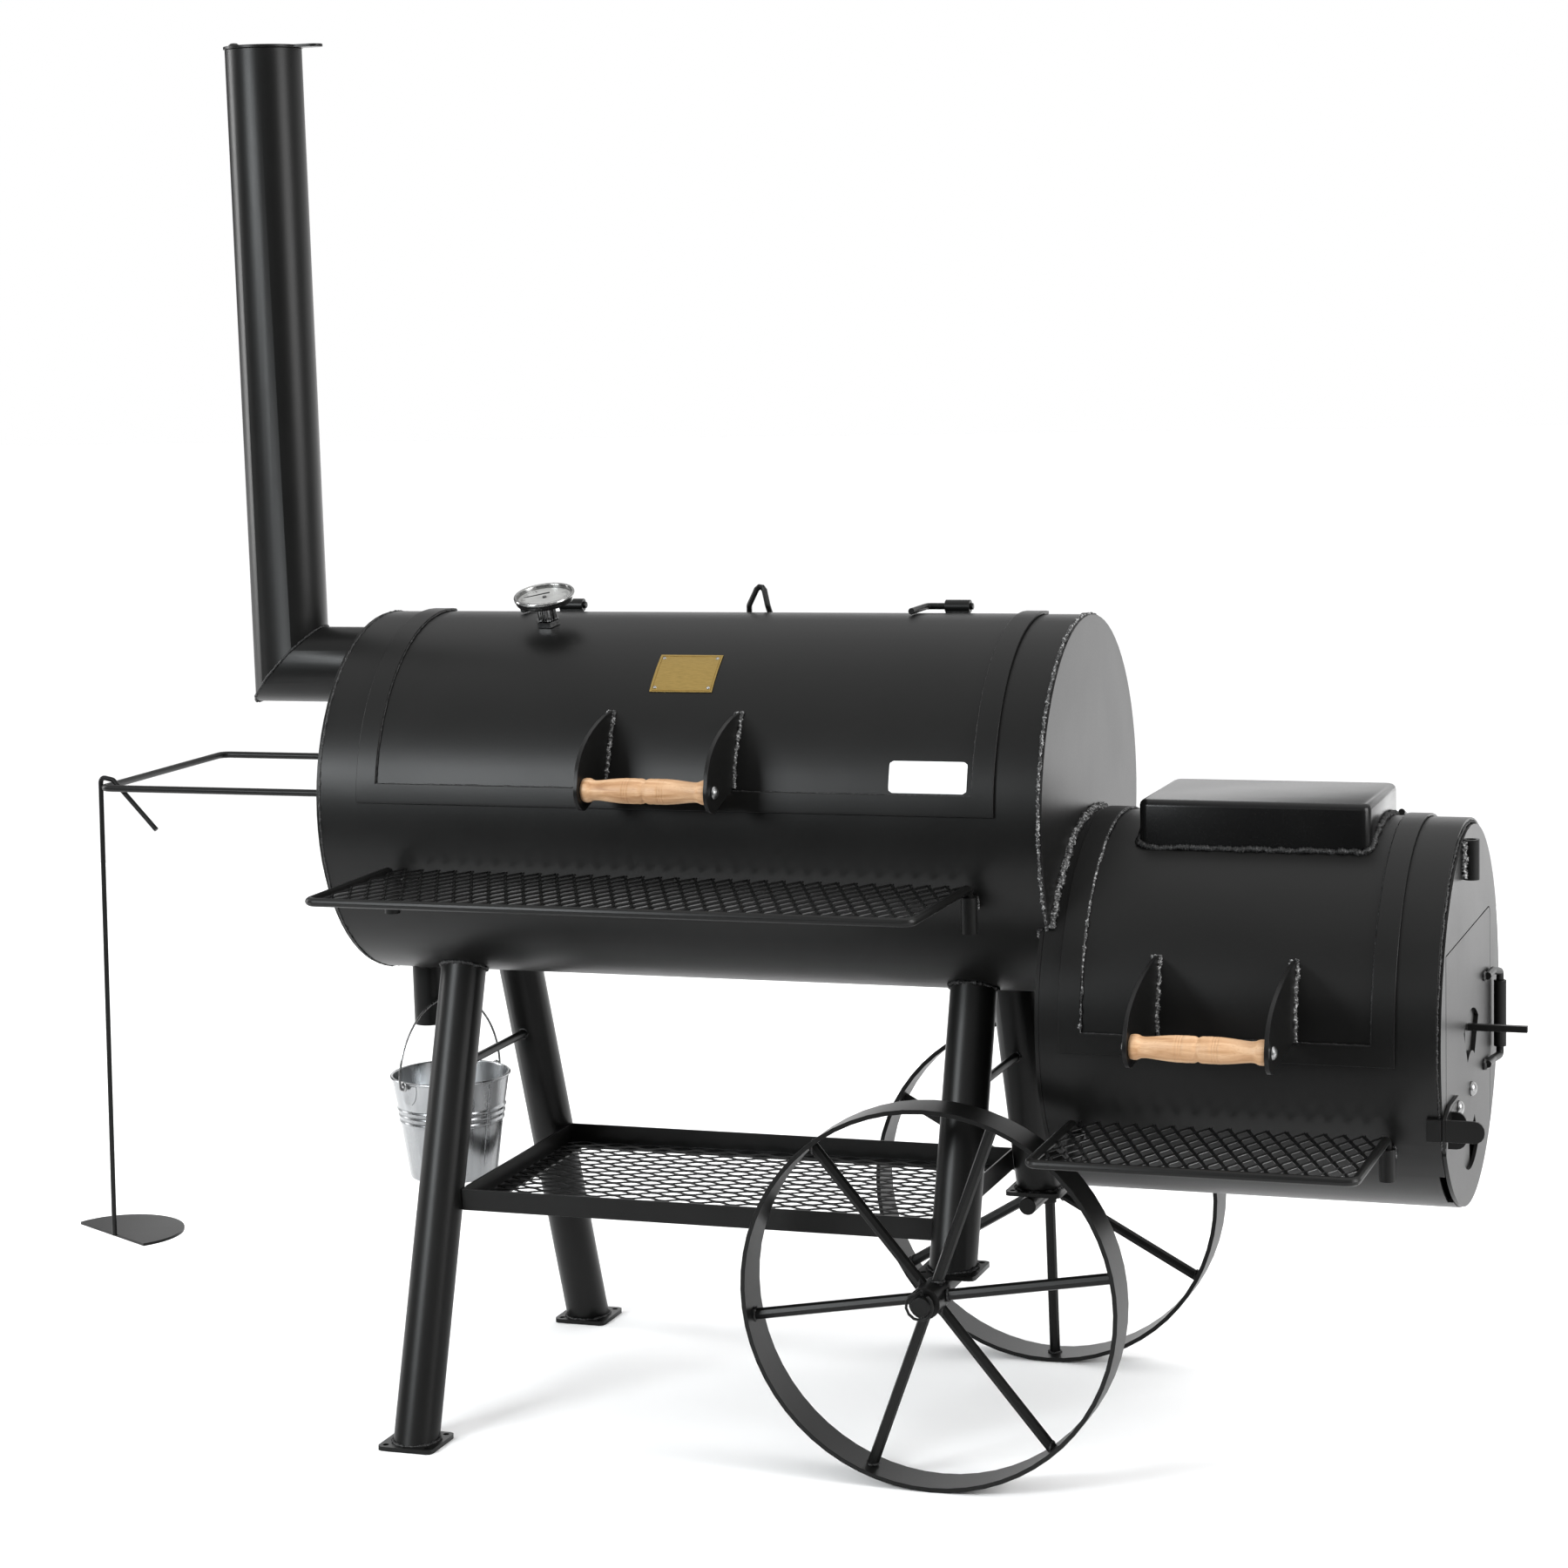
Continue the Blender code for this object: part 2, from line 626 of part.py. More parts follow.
def thermometer():
    """Dial thermometer screwed through the lid, and its pointer."""
    angle = math.radians(THERMOMETER_A)
    foot = Vector((THERMOMETER_X, -LID_SKIN[1] * math.cos(angle), CHAMBER_Z + LID_SKIN[1] * math.sin(angle)))
    out = Vector((0.0, -math.cos(angle), math.sin(angle)))
    y, z = hinge_axis(CHAMBER_Z, CHAMBER_HINGE_A)
    profile = [(0.0006, 0.0), (0.0006, 0.0165), (0.006, 0.0165), (0.006, 0.0125), (0.037, 0.0125),
               (0.038, 0.0385), (0.049, 0.0400), (0.0505, 0.0385), (0.0505, 0.0355), (DIAL_H, 0.0355),
               (DIAL_H, 0.0)]
    solid("thermometer_case", turned(foot, out, profile, 20), CHROME, (foot.x, y, z))
    hub = foot + out * (DIAL_H + 0.0004)
    across, up = axes_for(out)
    outline = [(-0.008, -0.0014), (0.026, -0.0004), (0.029, 0.0), (0.026, 0.0004), (-0.008, 0.0014)]
    turn = math.radians(215)
    points = []
    for height in (0.0, 0.0010):
        for a, b in outline:
            along = across * math.cos(turn) + up * math.sin(turn)
            side = out.cross(along)
            points.append(hub + along * a + side * b + out * height)
    count = len(outline)
    faces = [list(range(count)), list(range(count, 2 * count))]
    faces += [[n, (n + 1) % count, count + (n + 1) % count, count + n] for n in range(count)]
    solid("thermometer_needle", (points, faces), PAINT, hub)


def name_plate():
    """Curved brass plate on the lid, left blank."""
    angles = grid_angles(41.0, 56.0)
    radii = [LID_SKIN[1] + GAP, LID_SKIN[1] + GAP + 0.0010]
    shape = barrel(radii, angles, [0.471, 0.560], CHAMBER_Z, lambda i, j, k: True)
    y, z = hinge_axis(CHAMBER_Z, CHAMBER_HINGE_A)
    solid("name_plate", shape, BRASS, (0.5155, y, z))


def cooking_grates():
    """Two slotted grates that rest on the curved wall inside the chamber."""
    z = CHAMBER_Z - 0.060
    for side, x0, x1 in (("left", 0.015, 0.503), ("right", 0.509, 1.006)):
        solid(f"cooking_grate_{side}", grate(x0, x1, 0.2385, z - 0.0025, z + 0.0025, 12), IRON,
              ((x0 + x1) / 2, 0, z))


def grate(x0, x1, half, z0, z1, slots):
    """Flat grate: border, cross bars and long slots."""
    border = 0.012
    xs = [x0, x0 + border, (x0 + x1) / 2 - 0.005, (x0 + x1) / 2 + 0.005, x1 - border, x1]
    ys = [-half, -half + border]
    pitch = (2 * half - 2 * border) / slots
    for n in range(slots):
        ys.append(-half + border + pitch * (n + 1) - 0.006)
        ys.append(-half + border + pitch * (n + 1))
    ys[-1] = half

    def filled(i, j, k):
        return i in (0, 2, 4) or j % 2 == 0

    return cells(xs, ys[:-2] + [half - border, half], [z0, z1], filled, lambda x, y, z: Vector((x, y, z)))


# ---------------------------------------------------------------- lift-out shelves
def shelf(prefix, size):
    """Bent bar frame with two pins, and the mesh sheet welded inside it."""
    x0, x1 = size["x"]
    y0, y1 = size["y"]
    z = size["z"]
    pin = size["pin"]
    corners = [(x0, y1, pin), (x0, y1, z), (x0, y0, z), (x1, y0, z), (x1, y1, z), (x1, y1, pin)]
    path = bent(corners, 0.012, 3)
    solid(f"{prefix}_shelf_frame", swept(path, SHELF_R, 10), PAINT, (x0, y1, z))
    inset = SHELF_R + GAP
    left, right, front, back, cut = x0 + inset, x1 - inset, y0 + inset, y1 + 0.006, 0.010
    outline = [(left, back), (left, front + cut), (left + cut, front), (right - cut, front),
               (right, front + cut), (right, back)]
    solid(f"{prefix}_shelf_mesh", prism(outline, z - MESH_T / 2, z + MESH_T / 2, 2), PAINT, (x0, y1, z))


# ---------------------------------------------------------------- chimney, pull frame and rake
def chimney():
    """Mitred smoke pipe with its collar, the swivelling cap and the cap's bolt."""
    path = [(-GAP, 0, CHIMNEY_Z), (-0.022, 0, CHIMNEY_Z), (-0.0221, 0, CHIMNEY_Z), (CHIMNEY_X, 0, CHIMNEY_Z),
            (CHIMNEY_X, 0, CHIMNEY_TOP)]
    outer = [COLLAR_R, COLLAR_R, CHIMNEY_R, CHIMNEY_R, CHIMNEY_R]
    inner = [CHIMNEY_R - CHIMNEY_WALL] * 5
    solid("chimney_pipe", hollow_sweep(path, outer, inner, 40), PAINT)
    z0 = CHIMNEY_TOP + GAP
    outline = arc((CHIMNEY_X, 0.0), CAP_R, 14, 346, 40)
    outline += [(CHIMNEY_X + 0.078, -0.0135), *arc((CHIMNEY_X + 0.078, 0.0), 0.0135, -60, 60, 4),
                (CHIMNEY_X + 0.078, 0.0135)]
    cap = solid("chimney_cap", prism(outline, z0, z0 + CAP_T, 2), PAINT, (CAP_PIVOT_X, 0, z0))
    hole = cylinder((CAP_PIVOT_X, 0, z0 - 0.01), (CAP_PIVOT_X, 0, z0 + 0.01), 0.0047, 16)
    combine(cap, [hole], "DIFFERENCE")
    base = z0 + CAP_T + GAP
    profile = [(-0.030, 0.0), (-0.030, 0.0044), (0.0, 0.0044), (0.0, BOLT_HEAD), (0.0035, 0.0078),
               (0.0060, 0.0045), (0.0066, 0.0)]
    solid("chimney_cap_bolt", turned((CAP_PIVOT_X, 0, base), (0, 0, 1), profile, 16), PAINT)


def pull_frame():
    """Bent bar frame on the left end plate, used to pull the smoker and to hang tools."""
    corners = [(-GAP, -FRAME_Y, FRAME_Z), (FRAME_X, -FRAME_Y, FRAME_Z), (FRAME_X, FRAME_Y, FRAME_Z),
               (-GAP, FRAME_Y, FRAME_Z)]
    solid("pull_frame", swept(bent(corners, 0.014, 4), FRAME_R, 12), PAINT)


def ash_rake():
    """Ash rake hooked over the pull frame's end bar; its flat blade is a disc with one side cut straight."""
    bar = 0.0036
    shaft = FRAME_X - FRAME_R - bar - 0.0012
    top = FRAME_Z + FRAME_R + bar + 0.0012
    foot = Vector((-0.408, -0.158))
    path = bent([(*foot, RAKE_Z), (shaft, RAKE_Y, top + 0.004), (FRAME_X + 0.010, RAKE_Y, top),
                 (FRAME_X + 0.078, RAKE_Y - 0.004, FRAME_Z - 0.060)], 0.0065, 4)
    rake = solid("ash_rake", swept(path, bar, 10), PAINT, (FRAME_X, RAKE_Y, FRAME_Z))
    facing = Vector((0.49, 0.872))
    along = Vector((facing.y, -facing.x))
    centre = foot - along * 0.010 + facing * (RAKE_CUT + 0.001)
    cut = math.degrees(math.acos(RAKE_CUT / RAKE_R))
    away = math.degrees(math.atan2(facing.y, facing.x))
    outline = arc(centre, RAKE_R, away - 180 + cut, away + 180 - cut, 28)
    blade = prism(outline, RAKE_Z - 0.0020, RAKE_Z + 0.0022, 2)
    combine(rake, [blade], "UNION")


# ---------------------------------------------------------------- legs, rack, wheels
def leg_y(z):
    """Distance of a leg's axis from the middle plane at a height."""
    return LEG_FOOT_Y - LEG_SLOPE * z


def leg(name, x, side, base):
    """Sloping tube with a welded foot plate; the top is cut to sit on the barrel."""
    stretch = math.sqrt(1 + LEG_SLOPE ** 2)
    sides = 24
    points = []
    for radius in (LEG_R, LEG_R - LEG_WALL):
        for z in (base + FOOT_T - 0.001, 0.700):
            for n in range(sides):
                turn = 2 * math.pi * n / sides
                points.append(Vector((x + radius * math.cos(turn),
                                      side * leg_y(z) + stretch * radius * math.sin(turn), z)))
    faces = []
    for n in range(sides):
        after = (n + 1) % sides
        faces.append([n, after, sides + after, sides + n])
        faces.append([2 * sides + n, 2 * sides + after, 3 * sides + after, 3 * sides + n])
        faces.append([n, after, 2 * sides + after, 2 * sides + n])
        faces.append([sides + n, sides + after, 3 * sides + after, 3 * sides + n])
    item = solid(name, (points, faces), PAINT)
    centre = side * leg_y(base)
    half = FOOT / 2
    plate = prism(rounded_rectangle(x - half, x + half, centre - half, centre + half, 0.008, 2),
                  base, base + FOOT_T, 2)
    combine(item, [cylinder((-0.1, 0, CHAMBER_Z), (1.2, 0, CHAMBER_Z), BARREL_R + GAP, 72)], "DIFFERENCE")
    combine(item, [plate], "UNION")
    reach = half - 0.010
    holes = []
    for a in (-reach, reach):
        for b in (-reach, reach):
            spot = (x + a, centre + b)
            holes.append(cylinder((*spot, base - 0.01), (*spot, base + 0.02), 0.0045, 10))
    combine(item, holes, "DIFFERENCE")


def legs():
    """Four legs and the two cross rods that tie each pair."""
    for end, x, base in (("left", LEG_LEFT_X, 0.0), ("right", LEG_RIGHT_X, STUB_TOP + GAP)):
        leg(f"leg_front_{end}", x, -1, base)
        leg(f"leg_rear_{end}", x, 1, base)
    reach = leg_y(ROD_Z + ROD_R) - LEG_R * math.sqrt(1 + LEG_SLOPE ** 2) - 0.0010
    for end, x in (("left", LEG_LEFT_X), ("right", LEG_RIGHT_X)):
        solid(f"cross_rod_{end}", cylinder((x, -reach, ROD_Z), (x, reach, ROD_Z), ROD_R, 12), PAINT)


def lower_rack():
    """Angle iron frame between the legs, with a mesh sheet lying on its flange."""
    x0, x1 = RACK_X
    wide = 0.030
    xs = [x0, x0 + RACK_T, x0 + wide, x1 - wide, x1 - RACK_T, x1]
    ys = [-RACK_Y, -RACK_Y + RACK_T, -RACK_Y + wide, RACK_Y - wide, RACK_Y - RACK_T, RACK_Y]
    zs = [RACK_Z[0], RACK_Z[0] + RACK_T, RACK_Z[1]]

    def filled(i, j, k):
        if k == 0:
            return i in (0, 1, 3, 4) or j in (0, 1, 3, 4)
        return i in (0, 4) or j in (0, 4)

    frame = cells(xs, ys, zs, filled, lambda x, y, z: Vector((x, y, z)))
    item = solid("lower_rack_frame", frame, PAINT)
    notch = []
    for x in (LEG_LEFT_X, LEG_RIGHT_X):
        for side in (-1, 1):
            low = (x, side * leg_y(0.25), 0.25)
            high = (x, side * leg_y(0.40), 0.40)
            notch.append(cylinder(low, high, LEG_R + 0.0006, 32))
    combine(item, notch, "DIFFERENCE")
    inset = RACK_T + 0.002
    sheet = box(x0 + inset, x1 - inset, -RACK_Y + inset + 0.008, RACK_Y - inset - 0.008,
                zs[1] + GAP, zs[1] + GAP + 0.0025)
    solid("lower_rack_mesh", sheet, PAINT)


def spoke_wheel(end, side):
    """Flat bar rim, six round spokes and a hub tube, welded into one piece."""
    y0, y1 = side * WHEEL_Y[0], side * WHEEL_Y[1]
    middle = (y0 + y1) / 2
    centre = Vector((WHEEL_X, middle, WHEEL_R))
    hub_ends = [(WHEEL_X, side * y, WHEEL_R) for y in HUB_Y]
    item = solid(f"wheel_{end}", cylinder(*hub_ends, HUB_R, 24, AXLE_R + 0.0005), PAINT, centre)
    rim = cylinder((WHEEL_X, y0, WHEEL_R), (WHEEL_X, y1, WHEEL_R), WHEEL_R, 64, WHEEL_R - RIM_T)
    parts = []
    for n in range(SPOKES):
        turn = math.radians(SPOKE_LEAN[end] + 60 * n)
        out = Vector((math.cos(turn), 0, math.sin(turn)))
        inner, outer = centre + out * (HUB_R - 0.004), centre + out * (WHEEL_R - RIM_T + 0.002)
        parts.append(cylinder(inner, outer, SPOKE_R, 8))
    combine(item, parts + [rim], "UNION")


def axles_and_wheels():
    """Axle stubs under the right feet, the wheels and the linch pins outside them."""
    for end, side in (("front", -1), ("rear", 1)):
        ends = [(WHEEL_X, side * y, WHEEL_R) for y in AXLE_Y]
        stub = solid(f"axle_{end}", cylinder(*ends, AXLE_R, 24), PAINT)
        pin_ends = [(WHEEL_X, side * LINCH_Y, WHEEL_R + drop) for drop in (-0.03, 0.03)]
        combine(stub, [cylinder(*pin_ends, 0.0026, 10)], "DIFFERENCE")
        spoke_wheel(end, side)
        linch_pin(f"linch_pin_{end}", side)


def linch_pin(name, side):
    """Wire pin through the axle, with its spring ring lying round the axle end."""
    y = side * LINCH_Y
    ring_y = side * (AXLE_Y[1] + 0.0035)
    path = [(WHEEL_X, y, WHEEL_R - 0.021), (WHEEL_X, y, WHEEL_R + 0.0180),
            (WHEEL_X - 0.002, (y + ring_y) / 2, WHEEL_R + 0.0215)]
    for n in range(12):
        turn = math.radians(105 + 28 * n)
        path.append((WHEEL_X + 0.0180 * math.cos(turn), ring_y, WHEEL_R + 0.0020 + 0.0180 * math.sin(turn)))
    solid(name, swept(path, 0.0020, 8), STEEL, (WHEEL_X, y, WHEEL_R))


# ---------------------------------------------------------------- drain and bucket
def drain_and_bucket():
    """Grease drain with its hook, the bucket and the bail it hangs by."""
    pipe = cylinder((DRAIN_X, 0, DRAIN_Z), (DRAIN_X, 0, 0.66), DRAIN_R, 32, DRAIN_R - 0.0026)
    item = solid("drain_pipe", pipe, PAINT)
    combine(item, [cylinder((-0.1, 0, CHAMBER_Z), (1.2, 0, CHAMBER_Z), BARREL_R + GAP, 72)], "DIFFERENCE")
    hook_z = BAIL_TOP - BAIL_R - 0.0025 - 0.0004
    hook = bent([(DRAIN_X + DRAIN_R - 0.0015, 0, hook_z), (BUCKET_C.x + 0.008, 0, hook_z),
                 (BUCKET_C.x + 0.010, 0, hook_z + 0.012)], 0.004, 3)
    combine(item, [swept(hook, 0.0025, 8)], "UNION")
    bucket()
    bail()


def bucket():
    """Galvanised bucket: tapered wall, rolled rim, three ribs and two ears."""
    z0, z1 = BUCKET_Z
    r0, r1 = BUCKET_R
    wall = 0.0008
    rib = 0.0018
    levels = [(0.0, r0 - 0.001), (0.004, r0)]
    for height in (0.090, 0.105):
        base = r0 + (r1 - r0) * height / (z1 - z0)
        levels += [(height - 0.004, base), (height, base + rib), (height + 0.004, base)]
    levels += [(z1 - z0 - 0.004, r1 - 0.002), (z1 - z0 - 0.004, r1 + 0.001), (z1 - z0, r1 + 0.001)]
    inner = [(z1 - z0, r1 - 0.002 - wall), (0.004, r0 - wall - 0.0004), (0.0040, 0.0)]
    profile = [(0.0, 0.0)] + levels + inner
    item = solid("bucket", turned((BUCKET_C.x, BUCKET_C.y, z0), (0, 0, 1), profile, 24), ZINC,
                 (BUCKET_C.x, BUCKET_C.y, EAR_Z))
    ears = []
    for side in (-1, 1):
        root = BUCKET_C + EAR_DIR * side * (r1 - 0.003) + Vector((0, 0, EAR_Z))
        ears.append(cylinder(root, root + EAR_DIR * side * 0.007, 0.0085, 12))
    combine(item, ears, "UNION")
    holes = []
    for side in (-1, 1):
        root = BUCKET_C + EAR_DIR * side * (r1 + 0.0025) + Vector((0, 0, EAR_Z))
        holes.append(cylinder(root, root + EAR_DIR * side * 0.0095, 0.0026, 10))
    combine(item, holes, "DIFFERENCE")


def bail():
    """Wire bail from ear to ear, hanging on the drain's hook."""
    reach = BUCKET_R[1] + 0.0085
    rise = BAIL_TOP - EAR_Z
    path = [BUCKET_C + EAR_DIR * (reach - 0.0050) + Vector((0, 0, EAR_Z))]
    for n in range(17):
        turn = math.pi * n / 16
        height = Vector((0, 0, EAR_Z + rise * math.sin(turn)))
        path.append(BUCKET_C + EAR_DIR * reach * math.cos(turn) + height)
    path.append(BUCKET_C - EAR_DIR * (reach - 0.0050) + Vector((0, 0, EAR_Z)))
    solid("bucket_bail", swept(path, BAIL_R, 8), STEEL, (BUCKET_C.x, BUCKET_C.y, BAIL_TOP))


# ---------------------------------------------------------------- firebox
def firebox_barrel():
    """Firebox tube with the lid opening, the ash notch, the latch keeper and the shelf sockets."""
    skin_x = (FIREBOX_LID_X[0] + 0.013, FIREBOX_LID_X[1] - 0.013)
    opening = (FIREBOX_LID_A[0] + 3.0, FIREBOX_LID_A[1] + 1.0)
    notch = (297.0, 316.0)
    angles = full_circle([opening[0] + 360.0, opening[1], *notch])
    xs = [FIREBOX_X0, *skin_x, FIREBOX_X1 - 0.0075, FIREBOX_X1]

    def filled(i, j, k):
        middle = (angles[j] + angles[j + 1]) / 2
        if k == 3 and notch[0] < middle < notch[1]:
            return False
        in_lid = middle > opening[0] + 360 or middle < opening[1]
        return not (k == 1 and in_lid)

    radii = [BARREL_R - BARREL_WALL, BARREL_R]
    item = solid("firebox_barrel", barrel(radii, angles, xs, FIREBOX_Z, filled), PAINT)
    saddle = cylinder((0.9, 0, CHAMBER_Z), (CHAMBER_LEN + GAP, 0, CHAMBER_Z), BARREL_R + GAP, 72)
    combine(item, [saddle], "DIFFERENCE")
    keeper = box(FIREBOX_X1 - 0.014, FACE_X - 0.0006, -0.2440, -0.2362, 0.484, 0.512)
    combine(item, socket_parts(FIRE_SHELF, FIREBOX_Z) + [keeper], "UNION")


def firebox_ends():
    """Crescent plate under the chamber, and the door frame plate with its tool socket."""
    inner_end = FIREBOX_X0 - GAP
    left = solid("firebox_end_left", disc(inner_end - PLATE, inner_end, FIREBOX_Z, BARREL_R), PAINT)
    combine(left, [cylinder((0.9, 0, CHAMBER_Z), (1.2, 0, CHAMBER_Z), BARREL_R + GAP, 72)], "DIFFERENCE")
    margin = 0.0018
    front, rear = DOOR_Y[0] - 0.0030, DOOR_Y[1] + margin
    start = math.degrees(math.acos(rear / FACE_R))
    stop = math.degrees(math.acos(front / FACE_R))
    outline = arc((0.0, FACE_Z), FACE_R, -start, stop + 2 * (180 - stop), 80)
    corner = (DOOR_Y[1] - DOOR_CORNER, DOOR_TOP - DOOR_CORNER)
    outline += [(front, DOOR_TOP + margin), *arc(corner, DOOR_CORNER + margin, 90, 0, 3)]
    plate = solid("firebox_end_right", prism(outline, FACE_X - PLATE, FACE_X, 0), PAINT)
    x, y = FACE_X + SOCKET_R - 0.0008, -0.062
    combine(plate, [cylinder((x, y, 0.786), (x, y, 0.838), SOCKET_R, 16, SOCKET_BORE)], "UNION")


def firebox_door():
    """Flat door that ends in the plate's own round edge, with two curved air openings."""
    low_rear = -math.degrees(math.acos(DOOR_Y[1] / FACE_R))
    low_front = -math.degrees(math.acos(DOOR_Y[0] / FACE_R))
    outline = arc((0.0, FACE_Z), FACE_R, low_front, low_rear, 40)
    corner = (DOOR_Y[1] - DOOR_CORNER, DOOR_TOP - DOOR_CORNER)
    outline += [*arc(corner, DOOR_CORNER, 0, 90, 3), (DOOR_Y[0], DOOR_TOP)]
    pivot = (*DOOR_PIVOT, 0.560)
    door = solid("firebox_door", prism(outline, FACE_X - PLATE, FACE_X, 0), PAINT, pivot)
    vents = []
    for middle in (90, 270):
        ring = arc(VENT_C, VENT_R[1], middle - 36, middle + 36, 12)
        ring += arc(VENT_C, VENT_R[0], middle + 36, middle - 36, 12)
        vents.append(prism(ring, FACE_X - 0.02, FACE_X + 0.02, 0))
    rivet = cylinder((FACE_X - 0.02, *VENT_C), (FACE_X + 0.02, *VENT_C), 0.0046, 16)
    latch_hole = cylinder((FACE_X - 0.02, *LATCH_C), (FACE_X + 0.02, *LATCH_C), 0.0046, 16)
    combine(door, [*vents, rivet, latch_hole], "DIFFERENCE")


def door_hinge():
    """Knuckle on the end plate and the staple-shaped pin on the door."""
    x, y = DOOR_PIVOT
    pivot = (x, y, 0.560)
    solid("door_knuckle", cylinder((x, y, 0.515), (x, y, 0.606), 0.0085, 20, 0.0057), PAINT)
    hold = FACE_X + GAP + 0.0052
    corners = [(hold, 0.108, 0.627), (hold, 0.158, 0.625), (x, y, 0.618), (x, y, 0.503), (hold, 0.158, 0.504),
               (hold, 0.108, 0.507)]
    solid("door_hinge_pin", swept(bent(corners, 0.006, 3), 0.0052, 12), PAINT, pivot)


def air_shutter():
    """Two-blade damper behind the door, with its rivet and the lever through the upper opening."""
    back = FACE_X - PLATE - GAP
    y, z = VENT_C
    outline = []
    for middle in (68, 248):
        outline += arc(VENT_C, 0.112, middle - 34, middle + 34, 10)
        outline += arc(VENT_C, 0.022, middle + 50, middle + 130, 4)
    item = solid("air_shutter", prism(outline, back - 0.004, back, 0), PAINT, (FACE_X, y, z))
    rivet = [(-0.006, 0.0), (-0.006, 0.0042), (PLATE + 2 * GAP, 0.0042), (PLATE + 2 * GAP, BOLT_HEAD),
             (PLATE + 0.0040, 0.0078), (PLATE + 0.0062, 0.0045), (PLATE + 0.0068, 0.0)]
    lever = box(back - 0.002, FACE_X + 0.072, 0.0020, 0.0105, 0.5745, 0.5830)
    combine(item, [turned((back, y, z), (1, 0, 0), rivet, 16), lever], "UNION")


def door_latch():
    """Turning latch: rivet, arm over the door edge, flat finger grip and lift tab."""
    y, z = LATCH_C
    front = FACE_X + GAP
    outline = [*arc((y, z), 0.016, -70, 100, 8), (-0.205, 0.522), (-0.2430, 0.512), (-0.2430, 0.484),
               (-0.205, 0.479)]
    item = solid("door_latch", prism(outline, front, front + 0.005, 0), PAINT, (FACE_X, y, z))
    grip = rounded_tab(front + 0.001, FACE_X + 0.053, 0.484, 0.512)
    tab = rounded_tab(front + 0.001, FACE_X + 0.025, 0.466, 0.514)
    tail = [(-0.0092, 0.0), (-0.0092, BOLT_HEAD), (-0.0060, BOLT_HEAD), (-0.0060, 0.0042), (0.0, 0.0042),
            (0.002, BOLT_HEAD), (0.0085, 0.0078), (0.0110, 0.0040), (0.0114, 0.0)]
    shank = turned((FACE_X, y, z), (1, 0, 0), tail, 16)
    combine(item, [prism(grip, -0.2425, -0.2375, 1), prism(tab, -0.204, -0.199, 1), shank], "UNION")


def rounded_tab(x0, x1, z0, z1):
    """Outline of a flat tab in X and Z, square at its root and rounded at its outer end."""
    radius = min((z1 - z0) / 2 - 0.001, 0.013)
    outline = [(x0, z0)]
    outline += arc((x1 - radius, z0 + radius), radius, 270, 360, 4)
    outline += arc((x1 - radius, z1 - radius), radius, 0, 90, 4)
    outline.append((x0, z1))
    return outline


def firebox_hinge():
    """Long knuckle behind the hot plate and the bent pin that carries the firebox lid."""
    y, z = hinge_axis(FIREBOX_Z, FIREBOX_HINGE_A)
    x0, x1 = FIREBOX_KNUCKLE
    knuckle("firebox_knuckle", x0, x1, FIREBOX_Z, FIREBOX_HINGE_A)
    reach = LID_SKIN[1] + PIN_R + 0.0012
    arm = []
    for turn in (FIREBOX_HINGE_A - 14.0, FIREBOX_HINGE_A - 8.0):
        angle = math.radians(turn)
        arm.append((-reach * math.cos(angle), FIREBOX_Z + reach * math.sin(angle)))
    left, right = x0 - 0.014, x1 + 0.014
    corners = [(left, *arm[0]), (left, *arm[1]), (left, y, z), (right, y, z), (right, *arm[1]),
               (right, *arm[0])]
    solid("firebox_hinge_pin", swept(bent(corners, 0.007, 3), PIN_R, 12), PAINT, ((x0 + x1) / 2, y, z))


def hot_plate():
    """Box on the firebox lid that keeps a pot warm: flat top, round edges and corners, open underneath."""
    x0, x1, y0, y1, top = 1.118, 1.421, -0.118, 0.092, 0.8875
    levels = [(0.800, 0.0)]
    for n in range(4):
        turn = math.radians(30 * n)
        levels.append((top - TOP_EDGE_R * (1 - math.sin(turn)), TOP_EDGE_R * (1 - math.cos(turn))))
    outlines = []
    for z, inset in levels:
        ring = rounded_rectangle(x0 + inset, x1 - inset, y0 + inset, y1 - inset, 0.014 - inset, 3)
        outlines.append([Vector((a, b, z)) for a, b in ring])
    inner = rounded_rectangle(x0 + 0.005, x1 - 0.005, y0 + 0.005, y1 - 0.005, 0.010, 3)
    y, z = hinge_axis(FIREBOX_Z, FIREBOX_HINGE_A)
    item = solid("hot_plate", stacked(outlines), PAINT, ((x0 + x1) / 2, y, z))
    combine(item, [prism(inner, 0.790, top - 0.006, 2),
                   cylinder((1.0, 0, FIREBOX_Z), (1.6, 0, FIREBOX_Z), LID_SKIN[1] + GAP, 72)], "DIFFERENCE")


def stacked(outlines):
    """Solid through a stack of outlines with equal numbers of points, closed at both ends."""
    count = len(outlines[0])
    faces = [list(range(count)), list(range((len(outlines) - 1) * count, len(outlines) * count))]
    for level in range(len(outlines) - 1):
        here, there = level * count, (level + 1) * count
        faces += [[here + n, here + (n + 1) % count, there + (n + 1) % count, there + n]
                  for n in range(count)]
    return [point for outline in outlines for point in outline], faces


def charcoal_grate():
    """Slotted grate low in the firebox, narrow enough to come out through the door."""
    z = 0.418
    solid("charcoal_grate", grate(1.060, 1.500, 0.163, z - 0.003, z + 0.003, 8), IRON, (1.280, 0, z))


